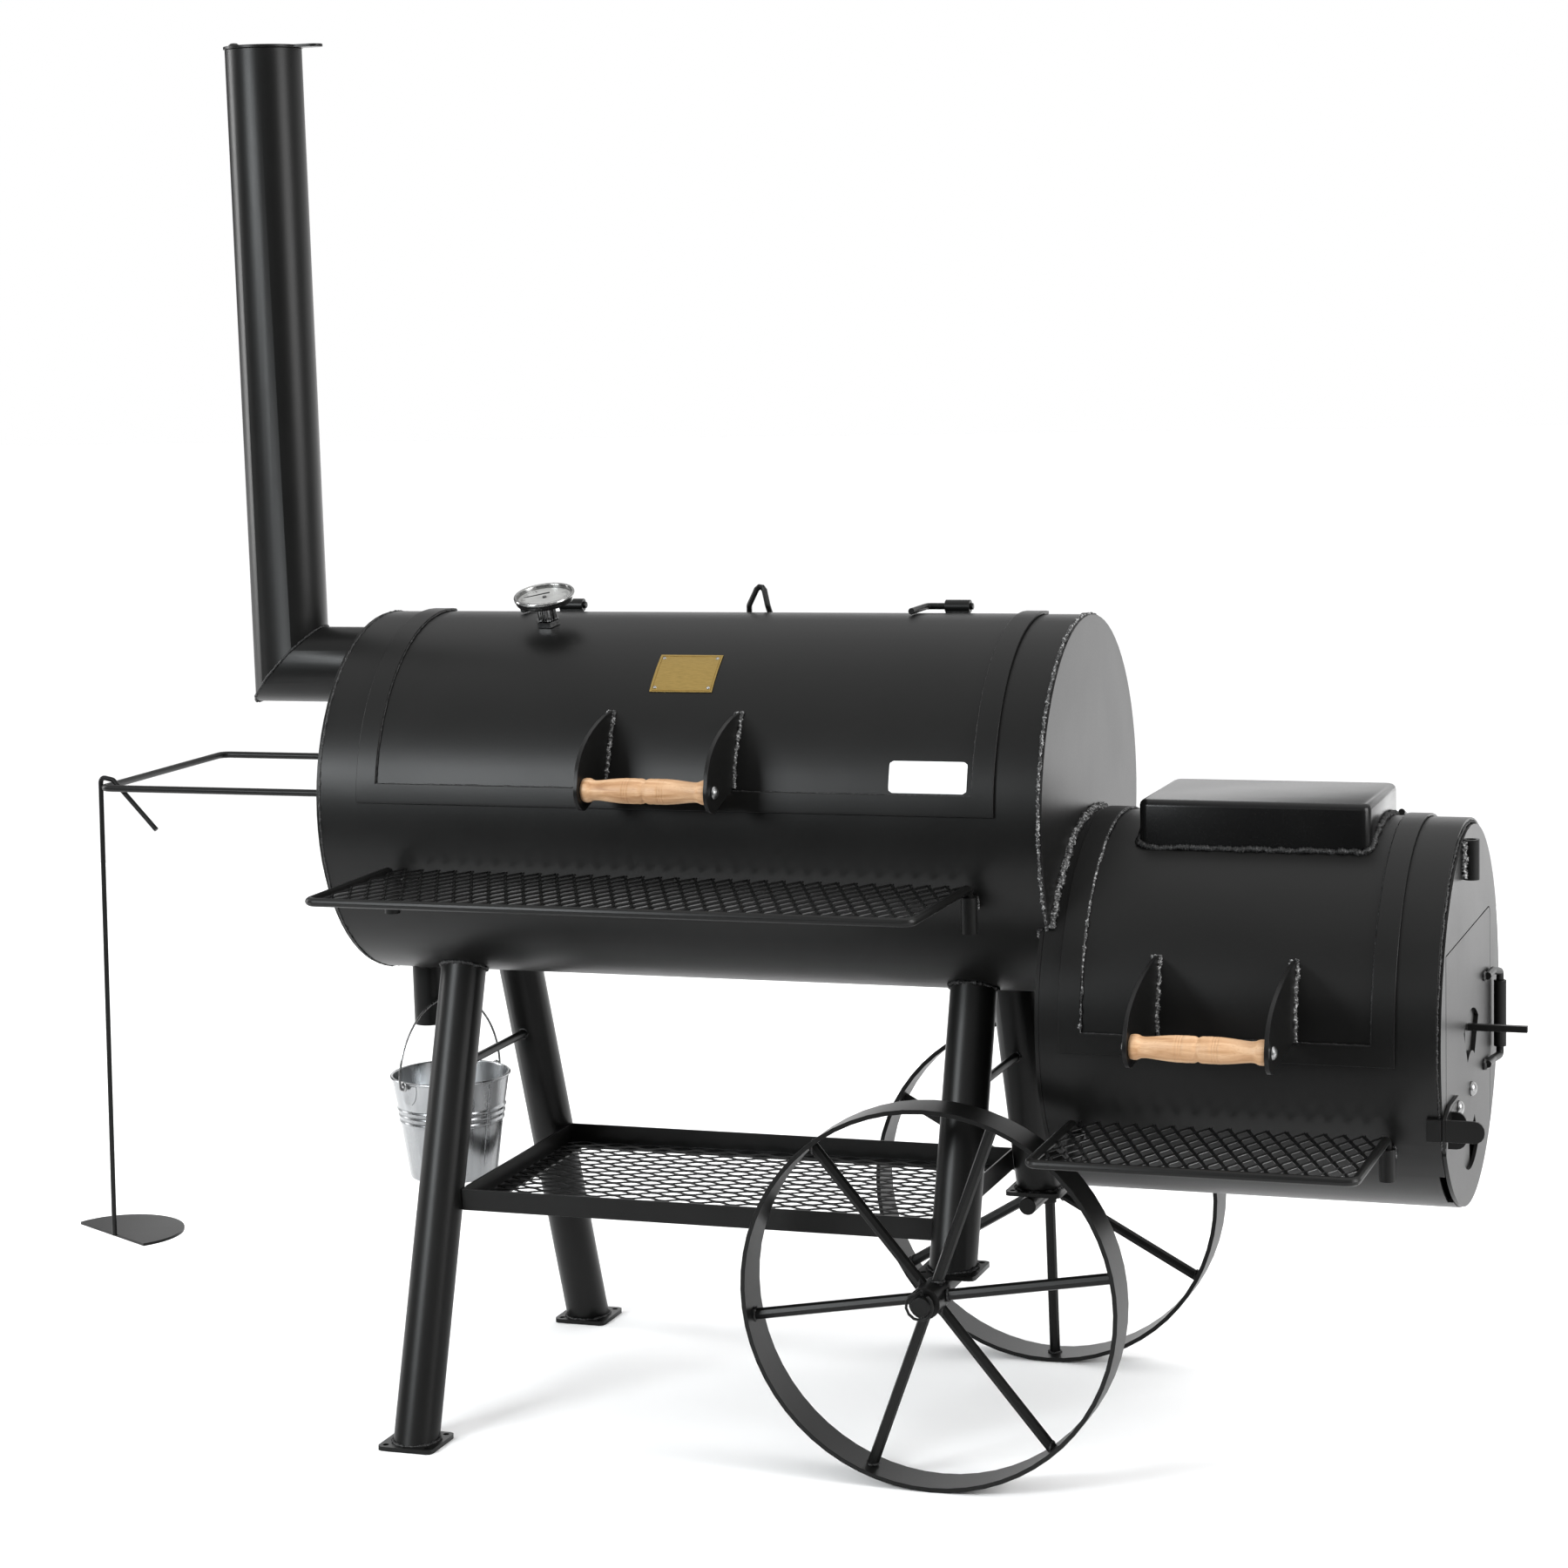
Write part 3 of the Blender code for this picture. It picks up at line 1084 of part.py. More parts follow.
def build():
    """Build every piece in order, from the chamber outwards."""
    clear_scene()
    chamber_barrel()
    chamber_ends()
    lid("chamber_lid", CHAMBER_LID_X, CHAMBER_LID_A, CHAMBER_Z)
    handle("chamber", CHAMBER_FINS, CHAMBER_GRIP, CHAMBER_Z, 1.007, 0.911, 0.024)
    chamber_hinge()
    thermometer()
    name_plate()
    cooking_grates()
    shelf("front", FRONT_SHELF)
    chimney()
    pull_frame()
    ash_rake()
    legs()
    lower_rack()
    axles_and_wheels()
    drain_and_bucket()
    firebox_barrel()
    firebox_ends()
    lid("firebox_lid", FIREBOX_LID_X, FIREBOX_LID_A, FIREBOX_Z)
    handle("firebox", FIREBOX_FINS, FIREBOX_GRIP, FIREBOX_Z, 0.706, 0.606, 0.022)
    firebox_hinge()
    hot_plate()
    firebox_door()
    door_hinge()
    door_latch()
    air_shutter()
    charcoal_grate()
    shelf("firebox", FIRE_SHELF)


build()
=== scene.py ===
"""Offset barrel smoker: the looks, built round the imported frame.

Drawing coordinates, in metres: x runs along the barrels from the chamber's left end plate, y is measured
from the barrels' shared middle plane (-y is the cook's side) and z from the ground. at() turns them into the
frame's coordinates, in which every piece is made.
"""
import math

import bpy
from mathutils import Matrix, Vector, noise


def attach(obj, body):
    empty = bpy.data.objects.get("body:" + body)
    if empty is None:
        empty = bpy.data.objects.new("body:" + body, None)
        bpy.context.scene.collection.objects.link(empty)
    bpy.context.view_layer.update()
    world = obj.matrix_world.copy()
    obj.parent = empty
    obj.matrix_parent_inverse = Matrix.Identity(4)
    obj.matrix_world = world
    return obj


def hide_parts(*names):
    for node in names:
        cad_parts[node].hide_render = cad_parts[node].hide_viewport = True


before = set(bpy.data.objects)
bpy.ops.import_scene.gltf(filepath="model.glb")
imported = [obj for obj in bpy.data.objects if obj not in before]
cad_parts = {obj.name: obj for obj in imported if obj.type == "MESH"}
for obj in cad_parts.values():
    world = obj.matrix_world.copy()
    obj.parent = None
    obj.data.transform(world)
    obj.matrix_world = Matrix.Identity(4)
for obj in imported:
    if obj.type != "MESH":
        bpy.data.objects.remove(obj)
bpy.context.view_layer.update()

# ------------------------------------------------------ sizes shared with the frame
ORIGIN = Vector((0.55495, -0.0835, 0.0))
BARREL_R = 0.254
CHAMBER_LEN = 1.026
CHAMBER_Z = 0.863
FIREBOX_Z = 0.600
FACE_X = 1.531
FACE_Z = 0.5965
FACE_R = 0.249
FACE_WELD = (-135.0, 122.0)  # degrees from straight up towards -Y: all round but for the door
FIREBOX_X0 = 1.0173
FIREBOX_X1 = 1.5257
LID_R = 0.2545               # outer radius of a lid's skin
STRIP_W = 0.029              # width of a lid's side strips
STRIP_A = 6.0                # degrees that a lid's lower strip covers
CHAMBER_LID = dict(x=(0.062, 0.963), a=(4.0, 97.5), z=CHAMBER_Z)
FIREBOX_LID = dict(x=(1.044, 1.475), a=(-4.8, 113.0), z=FIREBOX_Z)
THERMOMETER = dict(x=0.2765, a=74.0, r=0.2494)
DIAL_H = 0.0445              # height of the dial above the thermometer's foot
FIN_T = 0.0055
CHAMBER_HANDLE = dict(fins=(0.4243, 0.6048), grip=(-0.325, 0.916), root=(0.911, 1.007), z=CHAMBER_Z)
FIREBOX_HANDLE = dict(fins=(1.1692, 1.3458), grip=(-0.390, 0.621), root=(0.606, 0.706), z=FIREBOX_Z)
CHIMNEY_X = -0.1576
CHIMNEY_Z = 1.041
CHIMNEY_R = 0.054
COLLAR_R = 0.059
LEG_R = 0.03175
LEG_SLOPE = 0.350
LEG_FOOT_Y = 0.311
LEGS = ((0.137, -1, 0.006), (0.137, 1, 0.006), (0.884, -1, 0.2738), (0.884, 1, 0.2738))  # x, side, foot
ROD_Z = 0.488
WHEEL = dict(x=0.878, r=0.255, y=0.292, rim=0.006, hub=0.0212, spoke=0.0078)
WHEEL_LEAN = {-1: 9.5, 1: -29.0}  # degrees of the first spoke, for the wheel on each side
SPOKES = 6
DRAIN = dict(x=0.0365, r=0.0212)
PULL_ENDS = dict(y=(-0.180, 0.180), z=0.881)
STAPLE_ENDS = dict(y=0.1085, z=(0.627, 0.507))   # of the door's hinge
NAME_PLATE = dict(x=(0.4735, 0.5575), a=(41.5, 55.5))
LABEL = dict(x=(0.821, 0.926), a=(10.6, 20.0), corner=0.005)
BUCKET = dict(centre=(0.066, 0.0), z=(0.300, 0.450), r=(0.063, 0.086))
BUCKET_H = BUCKET["z"][1] - BUCKET["z"][0]
RIBS = (0.0835, 0.0925, 0.1015)   # heights on the bucket's wall
EAR_DIR = Vector((0.4067, 0.9135, 0.0))
EAR_Z = 0.4445
BAIL_TOP = 0.560
BAIL_R = 0.0016
BAIL_OUT = 0.0100            # how far the bail stands outside the rim
CURL_R = 0.0038
HOT_PLATE = dict(x=(1.118, 1.421), y=(-0.118, 0.092), corner=0.014)
SHELF_SOCKETS = ((0.112, 0.930, 0.778, CHAMBER_Z), (1.060, 1.464, 0.4735, FIREBOX_Z))  # x, x, top, barrel
TOOL_SOCKET = (0.789, 0.836)
HINGE_WEBS = ((0.243, 0.278, 102.0, CHAMBER_Z), (0.812, 0.847, 102.0, CHAMBER_Z),
              (1.124, 1.416, 119.0, FIREBOX_Z))  # x, x, degrees, barrel


def at(x, y, z):
    """Drawing coordinates as a point in the frame."""
    return Vector((x, y, z)) - ORIGIN


def on_barrel(radius, degrees, x, axis_z):
    """Point on a barrel; the angle runs from -Y up towards +Z."""
    turn = math.radians(degrees)
    return at(x, -radius * math.cos(turn), axis_z + radius * math.sin(turn))


# ------------------------------------------------------ camera, light and floor
CAMERA_PLACE = Vector((1.66545, -4.5113, 1.5681))
CAMERA_TURN = (0.341, 0.140, -0.0281)  # yaw, pitch and roll in radians
LENS, SENSOR = 81.93, 36.0             # mm
CEILING_RINGS = (20, 40, 60, 80)       # degrees from the ceiling's middle, where it is brightest
CEILING_STEP = 0.47                    # brightness that each ring adds
CEILING_TILT = 8.0                     # degrees from straight up towards +X
AMBIENT = 0.05                         # strength of the surround for all but the camera
FLOOR_NEAR, FLOOR_FAR = -1.7, 30.0     # the floor starts in front of the wheels and runs out of sight
FLOOR_Z = -0.0005                      # just under the feet and wheels


def new_object(name, data):
    """Object in the scene."""
    item = bpy.data.objects.new(name, data)
    bpy.context.scene.collection.objects.link(item)
    return item


def camera():
    """Low three-quarter view from the front right, as a long lens sees it."""
    yaw, pitch, roll = CAMERA_TURN
    ahead = Vector((-math.sin(yaw) * math.cos(pitch), math.cos(yaw) * math.cos(pitch), -math.sin(pitch)))
    right = Vector((math.cos(yaw), math.sin(yaw), 0.0))
    up = right.cross(ahead)
    side = right * math.cos(roll) + up * math.sin(roll)
    top = up * math.cos(roll) - right * math.sin(roll)
    data = bpy.data.cameras.new("camera")
    data.lens = LENS
    data.sensor_width = SENSOR
    item = new_object("camera", data)
    item.matrix_world = Matrix.Translation(CAMERA_PLACE) @ Matrix((side, top, -ahead)).transposed().to_4x4()
    bpy.context.scene.camera = item


def softbox(name, place, target, size, power, tint=(1.0, 1.0, 1.0)):
    """Rectangular area light aimed at a point."""
    data = bpy.data.lights.new(name, "AREA")
    data.shape = "RECTANGLE"
    data.size, data.size_y = size
    data.energy = power
    data.color = tint
    item = new_object(name, data)
    item.location = place
    item.rotation_euler = (Vector(target) - Vector(place)).to_track_quat("-Z", "Y").to_euler()
    item.visible_camera = False


def ceiling():
    """Nested round suns overhead, which fade from the middle outwards."""
    for reach in CEILING_RINGS:
        sky = bpy.data.lights.new(f"ceiling_{reach}", "SUN")
        sky.energy = CEILING_STEP * math.pi * math.sin(math.radians(reach)) ** 2
        sky.angle = math.radians(2 * reach)
        item = new_object(f"ceiling_{reach}", sky)
        item.rotation_euler = (0.0, math.radians(CEILING_TILT), 0.0)


def background(nodes, colour, strength):
    """World colour of one strength."""
    node = nodes.new("ShaderNodeBackground")
    node.inputs["Color"].default_value = (*colour, 1.0)
    node.inputs["Strength"].default_value = strength
    return node


def surround():
    """White to the camera, and a faint ambient light to everything else."""
    world = bpy.data.worlds.new("surround")
    bpy.context.scene.world = world
    world.use_nodes = True
    nodes, links = world.node_tree.nodes, world.node_tree.links
    nodes.clear()
    path = nodes.new("ShaderNodeLightPath")
    ambient = background(nodes, (0.92, 0.95, 1.0), AMBIENT)
    white = background(nodes, (1.0, 1.0, 1.0), 1.0)
    mix = nodes.new("ShaderNodeMixShader")
    out = nodes.new("ShaderNodeOutputWorld")
    links.new(path.outputs["Is Camera Ray"], mix.inputs["Fac"])
    links.new(ambient.outputs["Background"], mix.inputs[1])
    links.new(white.outputs["Background"], mix.inputs[2])
    links.new(mix.outputs["Shader"], out.inputs["Surface"])


def studio_floor():
    """Flat pale floor that runs far back."""
    corners = [(-FLOOR_FAR, FLOOR_NEAR, 0.0), (FLOOR_FAR, FLOOR_NEAR, 0.0), (FLOOR_FAR, FLOOR_FAR, 0.0),
               (-FLOOR_FAR, FLOOR_FAR, 0.0)]
    mesh = bpy.data.meshes.new("floor")
    mesh.from_pydata(corners, [], [[0, 1, 2, 3]])
    floor = new_object("floor", mesh)
    floor.location.z = FLOOR_Z
    floor.data.materials.append(floor_material())


def studio():
    """Soft boxes, a lit backdrop, a ceiling and a pale floor in front of a white surround."""
    softbox("front_box", (-1.95, -3.3, 1.95), (-0.3, 0.0, 0.85), (1.4, 0.65), 118, (0.94, 0.98, 1.0))
    softbox("camera_box", (0.6, -4.9, 2.8), (0.1, 0.0, 0.85), (2.4, 0.6), 8)
    softbox("right_box", (3.6, -0.6, 1.9), (0.0, 0.0, 1.6), (1.8, 1.8), 120)
    softbox("left_box", (-3.8, 0.2, 1.8), (-0.6, 0.0, 1.5), (0.6, 2.0), 60)
    softbox("backdrop", (0.5, 4.2, 1.1), (0.5, 0.0, 1.1), (8.0, 2.2), 72)
    ceiling()
    bpy.context.scene.view_settings.view_transform = "Standard"
    surround()
    studio_floor()


# ------------------------------------------------------ material helpers
class Recipe:
    """A Principled material and short calls to add the nodes that colour and roughen it."""

    def __init__(self, name, scale=(1.0, 1.0, 1.0), **constants):
        self.material = bpy.data.materials.new(name)
        self.material.use_nodes = True
        self.nodes = self.material.node_tree.nodes
        self.links = self.material.node_tree.links
        self.shader = self.nodes["Principled BSDF"]
        for socket, value in constants.items():
            self.shader.inputs[socket.replace("_", " ")].default_value = value
        coordinates = self.nodes.new("ShaderNodeTexCoord")
        mapping = self.nodes.new("ShaderNodeMapping")
        mapping.inputs["Scale"].default_value = scale
        self.links.new(coordinates.outputs["Object"], mapping.inputs["Vector"])
        self.place = mapping.outputs["Vector"]

    def noise(self, scale, detail=4.0, distortion=0.0):
        node = self.nodes.new("ShaderNodeTexNoise")
        node.inputs["Scale"].default_value = scale
        node.inputs["Detail"].default_value = detail
        node.inputs["Distortion"].default_value = distortion
        self.links.new(self.place, node.inputs["Vector"])
        return node.outputs["Fac"]

    def cells(self, scale):
        node = self.nodes.new("ShaderNodeTexVoronoi")
        node.inputs["Scale"].default_value = scale
        self.links.new(self.place, node.inputs["Vector"])
        return node.outputs["Color"]

    def ramp(self, value, *stops):
        """Colour or grey stops as (position, colour) pairs."""
        node = self.nodes.new("ShaderNodeValToRGB")
        elements = node.color_ramp.elements
        while len(elements) < len(stops):
            elements.new(0.5)
        for element, (position, shade) in zip(elements, stops):
            element.position = position
            element.color = (*shade, 1.0) if isinstance(shade, tuple) else (shade, shade, shade, 1.0)
        self.links.new(value, node.inputs["Fac"])
        return node.outputs["Color"]

    def mix(self, factor, first, second):
        node = self.nodes.new("ShaderNodeMix")
        node.data_type = "RGBA"
        for value, socket in ((factor, node.inputs[0]), (first, node.inputs[6]), (second, node.inputs[7])):
            if isinstance(value, (float, tuple)):
                socket.default_value = value
            else:
                self.links.new(value, socket)
        return node.outputs[2]

    def colour(self, value):
        self.links.new(value, self.shader.inputs["Base Color"])

    def rough(self, value, low, high):
        """Roughness that follows a pattern between two limits."""
        node = self.nodes.new("ShaderNodeMapRange")
        node.inputs["To Min"].default_value = low
        node.inputs["To Max"].default_value = high
        self.links.new(value, node.inputs["Value"])
        self.links.new(node.outputs["Result"], self.shader.inputs["Roughness"])

    def bump(self, *layers):
        """Stack of (pattern, strength, distance) bumps, the coarsest first."""
        normal = None
        for value, strength, distance in layers:
            node = self.nodes.new("ShaderNodeBump")
            node.inputs["Strength"].default_value = strength
            node.inputs["Distance"].default_value = distance
            self.links.new(value, node.inputs["Height"])
            if normal is not None:
                self.links.new(normal, node.inputs["Normal"])
            normal = node.outputs["Normal"]
        self.links.new(normal, self.shader.inputs["Normal"])


def floor_material():
    """Pale seamless studio paper."""
    recipe = Recipe("studio_paper", Specular_IOR_Level=0.1)
    grain = recipe.noise(2.0, 6.0)
    recipe.colour(recipe.ramp(grain, (0.3, 0.96), (0.7, 0.98)))
    recipe.rough(grain, 0.85, 0.95)
    return recipe.material


def satin_paint(name, base, rough, peel=0.35):
    """High-temperature black paint: faint cloudiness, fine orange peel and dust-dull patches."""
    blotch = 0.25
    recipe = Recipe(name, Specular_IOR_Level=0.18)
    cloud = recipe.noise(3.5, 5.0, 0.4)
    speck = recipe.noise(420.0, 2.0)
    dark = tuple(c * (1.0 - blotch) for c in base)
    light = tuple(c * (1.0 + blotch) for c in base)
    dusty = tuple(c * 2.0 + 0.002 for c in base)
    body = recipe.ramp(cloud, (0.32, dark), (0.68, light))
    dust = recipe.ramp(speck, (0.62, 0.0), (0.78, 0.35))
    recipe.colour(recipe.mix(dust, body, (*dusty, 1.0)))
    recipe.rough(recipe.mix(0.35, cloud, speck), rough - 0.07, rough + 0.09)
    recipe.bump((recipe.noise(9.0, 2.0), 0.10, 0.004), (speck, peel, 0.00012))
    return recipe.material


def weld_material(name, greys):
    """Painted weld bead: black ripples, grey spatter; light greys are worn paint and painted highlights."""
    recipe = Recipe(name, Specular_IOR_Level=0.35)
    grain = recipe.noise(300.0, 4.0)
    low, middle, high = greys
    recipe.colour(recipe.ramp(grain, (0.42, low), (0.54, middle), (0.66, high)))
    recipe.rough(grain, 0.30, 0.60)
    recipe.bump((recipe.noise(190.0, 3.0), 1.0, 0.0020), (grain, 0.8, 0.0006))
    return recipe.material


def metal(name, dark, light, rough, scale=(1.0, 1.0, 1.0), grain=260.0):
    """Plain metal with a streaked or grained finish."""
    recipe = Recipe(name, scale, Metallic=1.0)
    streak = recipe.noise(grain, 4.0)
    recipe.colour(recipe.ramp(streak, (0.3, dark), (0.7, light)))
    recipe.rough(streak, rough - 0.06, rough + 0.10)
    recipe.bump((streak, 0.15, 0.0001))
    return recipe.material


def galvanised_material():
    """Drawn zinc sheet: faint spangle and long soft streaks up the wall."""
    recipe = Recipe("galvanised_sheet", (1.0, 1.0, 0.06), Metallic=1.0)
    streak = recipe.noise(34.0, 3.0)
    crystal = recipe.cells(60.0)
    tone = recipe.ramp(streak, (0.30, (0.19, 0.195, 0.20)), (0.50, (0.31, 0.315, 0.32)),
                       (0.72, (0.42, 0.43, 0.44)))
    spangle = recipe.ramp(crystal, (0.0, (0.27, 0.28, 0.29)), (1.0, (0.39, 0.40, 0.41)))
    recipe.colour(recipe.mix(0.25, tone, spangle))
    recipe.rough(streak, 0.20, 0.34)
    recipe.bump((streak, 0.10, 0.0006), (recipe.noise(300.0, 2.0), 0.05, 0.0001))
    return recipe.material


def beech_material(name, seed):
    """Pale turned beech: long grain along the grip, short dark flecks and open pores."""
    recipe = Recipe(name, (3.0, 46.0, 46.0))
    recipe.nodes["Mapping"].inputs["Location"].default_value = (seed, seed * 0.7, seed * 1.3)
    rings = recipe.noise(2.6, 6.0, 0.8)
    pores = recipe.noise(34.0, 3.0)
    body = recipe.ramp(rings, (0.30, (0.33, 0.165, 0.068)), (0.46, (0.47, 0.27, 0.135)),
                       (0.66, (0.60, 0.39, 0.23)))
    fleck = recipe.ramp(pores, (0.30, 0.75), (0.46, 0.0))
    recipe.colour(recipe.mix(fleck, body, (0.40, 0.22, 0.10, 1.0)))
    recipe.rough(pores, 0.42, 0.62)
    recipe.bump((rings, 0.15, 0.0006), (pores, 0.35, 0.0003))
    return recipe.material


def iron_material():
    """Raw grate iron with a brown bloom."""
    recipe = Recipe("raw_iron", Metallic=0.5)
    bloom = recipe.noise(28.0, 6.0, 0.5)
    recipe.colour(recipe.ramp(bloom, (0.35, (0.030, 0.028, 0.027)), (0.6, (0.065, 0.052, 0.043)),
                              (0.8, (0.13, 0.075, 0.045))))
    recipe.rough(bloom, 0.5, 0.8)
    recipe.bump((recipe.noise(300.0, 3.0), 0.5, 0.0003))
    return recipe.material


def label_material():
    """Blank white vinyl label with a faint printed mottle."""
    recipe = Recipe("blank_label")
    mottle = recipe.noise(60.0, 3.0)
    recipe.colour(recipe.ramp(mottle, (0.3, (0.94, 0.95, 0.96)), (0.7, (0.99, 0.99, 0.99))))
    recipe.rough(mottle, 0.30, 0.42)
    return recipe.material


def dial_material():
    """Satin dial face with a fine grain, grey enough to look white under the soft boxes."""
    recipe = Recipe("dial_face")
    grain = recipe.noise(220.0, 3.0)
    recipe.colour(recipe.ramp(grain, (0.3, (0.30, 0.30, 0.29)), (0.7, (0.36, 0.36, 0.35))))
    recipe.rough(grain, 0.30, 0.45)
    return recipe.material


def ink_material():
    """Printed black scale marks."""
    recipe = Recipe("dial_ink")
    grain = recipe.noise(500.0, 2.0)
    recipe.colour(recipe.ramp(grain, (0.3, 0.015), (0.7, 0.03)))
    recipe.rough(grain, 0.45, 0.6)
    return recipe.material


# ------------------------------------------------------ shape helpers
def piece(name, shape, body, material, replaces=(), flat_above=None):
    """One smooth mesh object from (points, faces) that rides on a body; flat_above is in degrees."""
    points, faces = shape
    mesh = bpy.data.meshes.new(name)
    mesh.from_pydata([tuple(p) for p in points], [], faces)
    mesh.validate()
    mesh.shade_smooth()
    if flat_above is not None:
        mesh.set_sharp_from_angle(angle=math.radians(flat_above))
    mesh.materials.append(material)
    item = new_object(name, mesh)
    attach(item, body)
    if replaces:
        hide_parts(*replaces)


def merged(shapes):
    """Several (points, faces) shapes as one."""
    points, faces = [], []
    for some_points, some_faces in shapes:
        base = len(points)
        points += list(some_points)
        faces += [[base + n for n in face] for face in some_faces]
    return points, faces


def tube_faces(rings, sides, closed):
    """Quads round a stack of rings, with end caps unless the stack closes on itself."""
    faces = []
    for ring in range(rings if closed else rings - 1):
        here, there = ring * sides, (ring + 1) % rings * sides
        for n in range(sides):
            after = (n + 1) % sides
            faces.append([here + n, here + after, there + after, there + n])
    if not closed:
        faces.append(list(range(sides))[::-1])
        faces.append([(rings - 1) * sides + n for n in range(sides)])
    return faces


def tangents(path, closed):
    """Unit direction at every point of a path."""
    count = len(path)
    found = []
    for n in range(count):
        before = path[(n - 1) % count] if closed or n > 0 else path[0]
        after = path[(n + 1) % count] if closed or n < count - 1 else path[-1]
        found.append((after - before).normalized())
    return found


def swept(path, radius, sides, closed=False):
    """Round bar along a path; radius is a number or a function of the point's index."""
    points = []
    along = tangents(path, closed)
    across = along[0].orthogonal().normalized()
    for n, spot in enumerate(path):
        across = (across - along[n] * across.dot(along[n])).normalized()
        other = along[n].cross(across)
        size = radius(n) if callable(radius) else radius
        for side in range(sides):
            turn = 2 * math.pi * side / sides
            points.append(spot + (across * math.cos(turn) + other * math.sin(turn)) * size)
    return points, tube_faces(len(path), sides, closed)


def turned(start, direction, profile, sides):
    """Lathe shape: profile is (distance along, radius), from pole to pole or as a closed loop."""
    direction = Vector(direction).normalized()
    across = direction.orthogonal().normalized()
    other = direction.cross(across)
    solid = profile[0][1] < 1e-6 and profile[-1][1] < 1e-6
    points, faces, rings = [], [], []
    for along, radius in profile:
        if radius < 1e-6:
            rings.append([len(points)])
            points.append(start + direction * along)
            continue
        rings.append([len(points) + n for n in range(sides)])
        for n in range(sides):
            turn = 2 * math.pi * n / sides
            outward = across * math.cos(turn) + other * math.sin(turn)
            points.append(start + direction * along + outward * radius)
    pairs = list(zip(rings, rings[1:]))
    if not solid:
        pairs.append((rings[-1], rings[0]))
    for low, high in pairs:
        for n in range(sides):
            after = (n + 1) % sides
            if len(low) == 1:
                faces.append([low[0], high[after], high[n]])
            elif len(high) == 1:
                faces.append([low[n], low[after], high[0]])
            else:
                faces.append([low[n], low[after], high[after], high[n]])
    return points, faces


def spaced(path, step, closed):
    """The same path with points at an even step."""
    source = path + [path[0]] if closed else path
    spots = [source[0].copy()]
    left = step
    for first, second in zip(source, source[1:]):
        span = (second - first).length
        direction = (second - first).normalized() if span > 1e-9 else Vector()
        reached = 0.0
        while span - reached >= left:
            reached += left
            spots.append(first + direction * reached)
            left = step
        left -= span - reached
    if closed and (spots[-1] - spots[0]).length < step * 0.6:
        spots.pop()
    return spots


def bead(path, radius, closed=False, ripple=0.0034, wobble=0.75):
    """Weld bead: a sunk round seam whose size swells at each ripple and wanders a little."""
    step = ripple / 3
    spots = spaced(path, step, closed)
    seed = spots[0] * 7.0

    def size(n):
        swell = 0.86 + 0.14 * math.cos(2 * math.pi * n / 3)
        return radius * swell * (1.0 + wobble * noise.noise(spots[n] * 210.0 + seed))

    shifted = []
    for spot in spots:
        jitter = Vector((noise.noise(spot * 90.0), noise.noise(spot * 90.0 + Vector((5, 0, 0))),
                         noise.noise(spot * 90.0 + Vector((0, 9, 0)))))
        shifted.append(spot + jitter * radius * 0.45)
    return swept(shifted, size, 8, closed)


def circle(centre, axis, radius, start=0.0, stop=360.0, step=2.0):
    """Points round an axis; the full circle leaves its last point out."""
    axis = Vector(axis).normalized()
    across = Vector((0.0, 0.0, 1.0)) if abs(axis.z) < 0.9 else Vector((1.0, 0.0, 0.0))
    other = axis.cross(across).normalized()
    count = max(2, round(abs(stop - start) / step))
    last = count if abs(stop - start) >= 360.0 else count + 1
    spots = []
    for n in range(last):
        turn = math.radians(start + (stop - start) * n / count)
        spots.append(centre + (across * math.cos(turn) + other * math.sin(turn)) * radius)
    return spots


def refine(name, material, width):
    """Gives a CAD node its material and edges that catch the light, and smooths its facets."""
    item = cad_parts[name]
    mesh = item.data
    mesh.materials.clear()
    mesh.materials.append(material)
    for flag in ("custom_normal", "sharp_face", "sharp_edge"):
        if flag in mesh.attributes:
            mesh.attributes.remove(mesh.attributes[flag])
    weld = item.modifiers.new("weld", "WELD")
    weld.merge_threshold = 0.00002
    planar = item.modifiers.new("planar", "DECIMATE")
    planar.decimate_type = "DISSOLVE"
    planar.angle_limit = math.radians(0.6)
    soft = item.modifiers.new("soft_edges", "BEVEL")
    soft.limit_method = "ANGLE"
    soft.angle_limit = math.radians(32.0)
    soft.width = width
    soft.segments = 2
    soft.harden_normals = True
    soft.use_clamp_overlap = True


# ------------------------------------------------------ weld seams
# A bead's middle lies up to a millimetre or so off the surfaces that it joins, so that its foot is sunk.
def lid_edge(lid, side):
    """Arc along the inner edge of a lid's side strip."""
    x = lid["x"][0] + STRIP_W if side < 0 else lid["x"][1] - STRIP_W
    low, high = lid["a"][0] + STRIP_A, lid["a"][1]
    count = round((high - low) / 1.5)
    return [on_barrel(LID_R + 0.0012, low + (high - low) * n / count, x, lid["z"]) for n in range(count + 1)]


def lid_lower_edge(lid):
    """Line along the inner edge of a lid's lower strip."""
    degrees = lid["a"][0] + STRIP_A
    ends = (lid["x"][0] + STRIP_W, lid["x"][1] - STRIP_W)
    return [on_barrel(LID_R + 0.0012, degrees, x, lid["z"]) for x in ends]


def fin_roots(handle):
    """Seams on both faces of both handle fins, where they stand on the lid."""
    low, high = (math.degrees(math.asin((z - handle["z"]) / LID_R)) for z in handle["root"])
    paths = []
    for x in handle["fins"]:
        for side in (-1, 1):
            face = x + side * (FIN_T / 2 + 0.0006)
            steps = [low + (high - low) * n / 12 for n in range(13)]
            paths.append([on_barrel(LID_R + 0.0008, degrees, face, handle["z"]) for degrees in steps])
    return paths


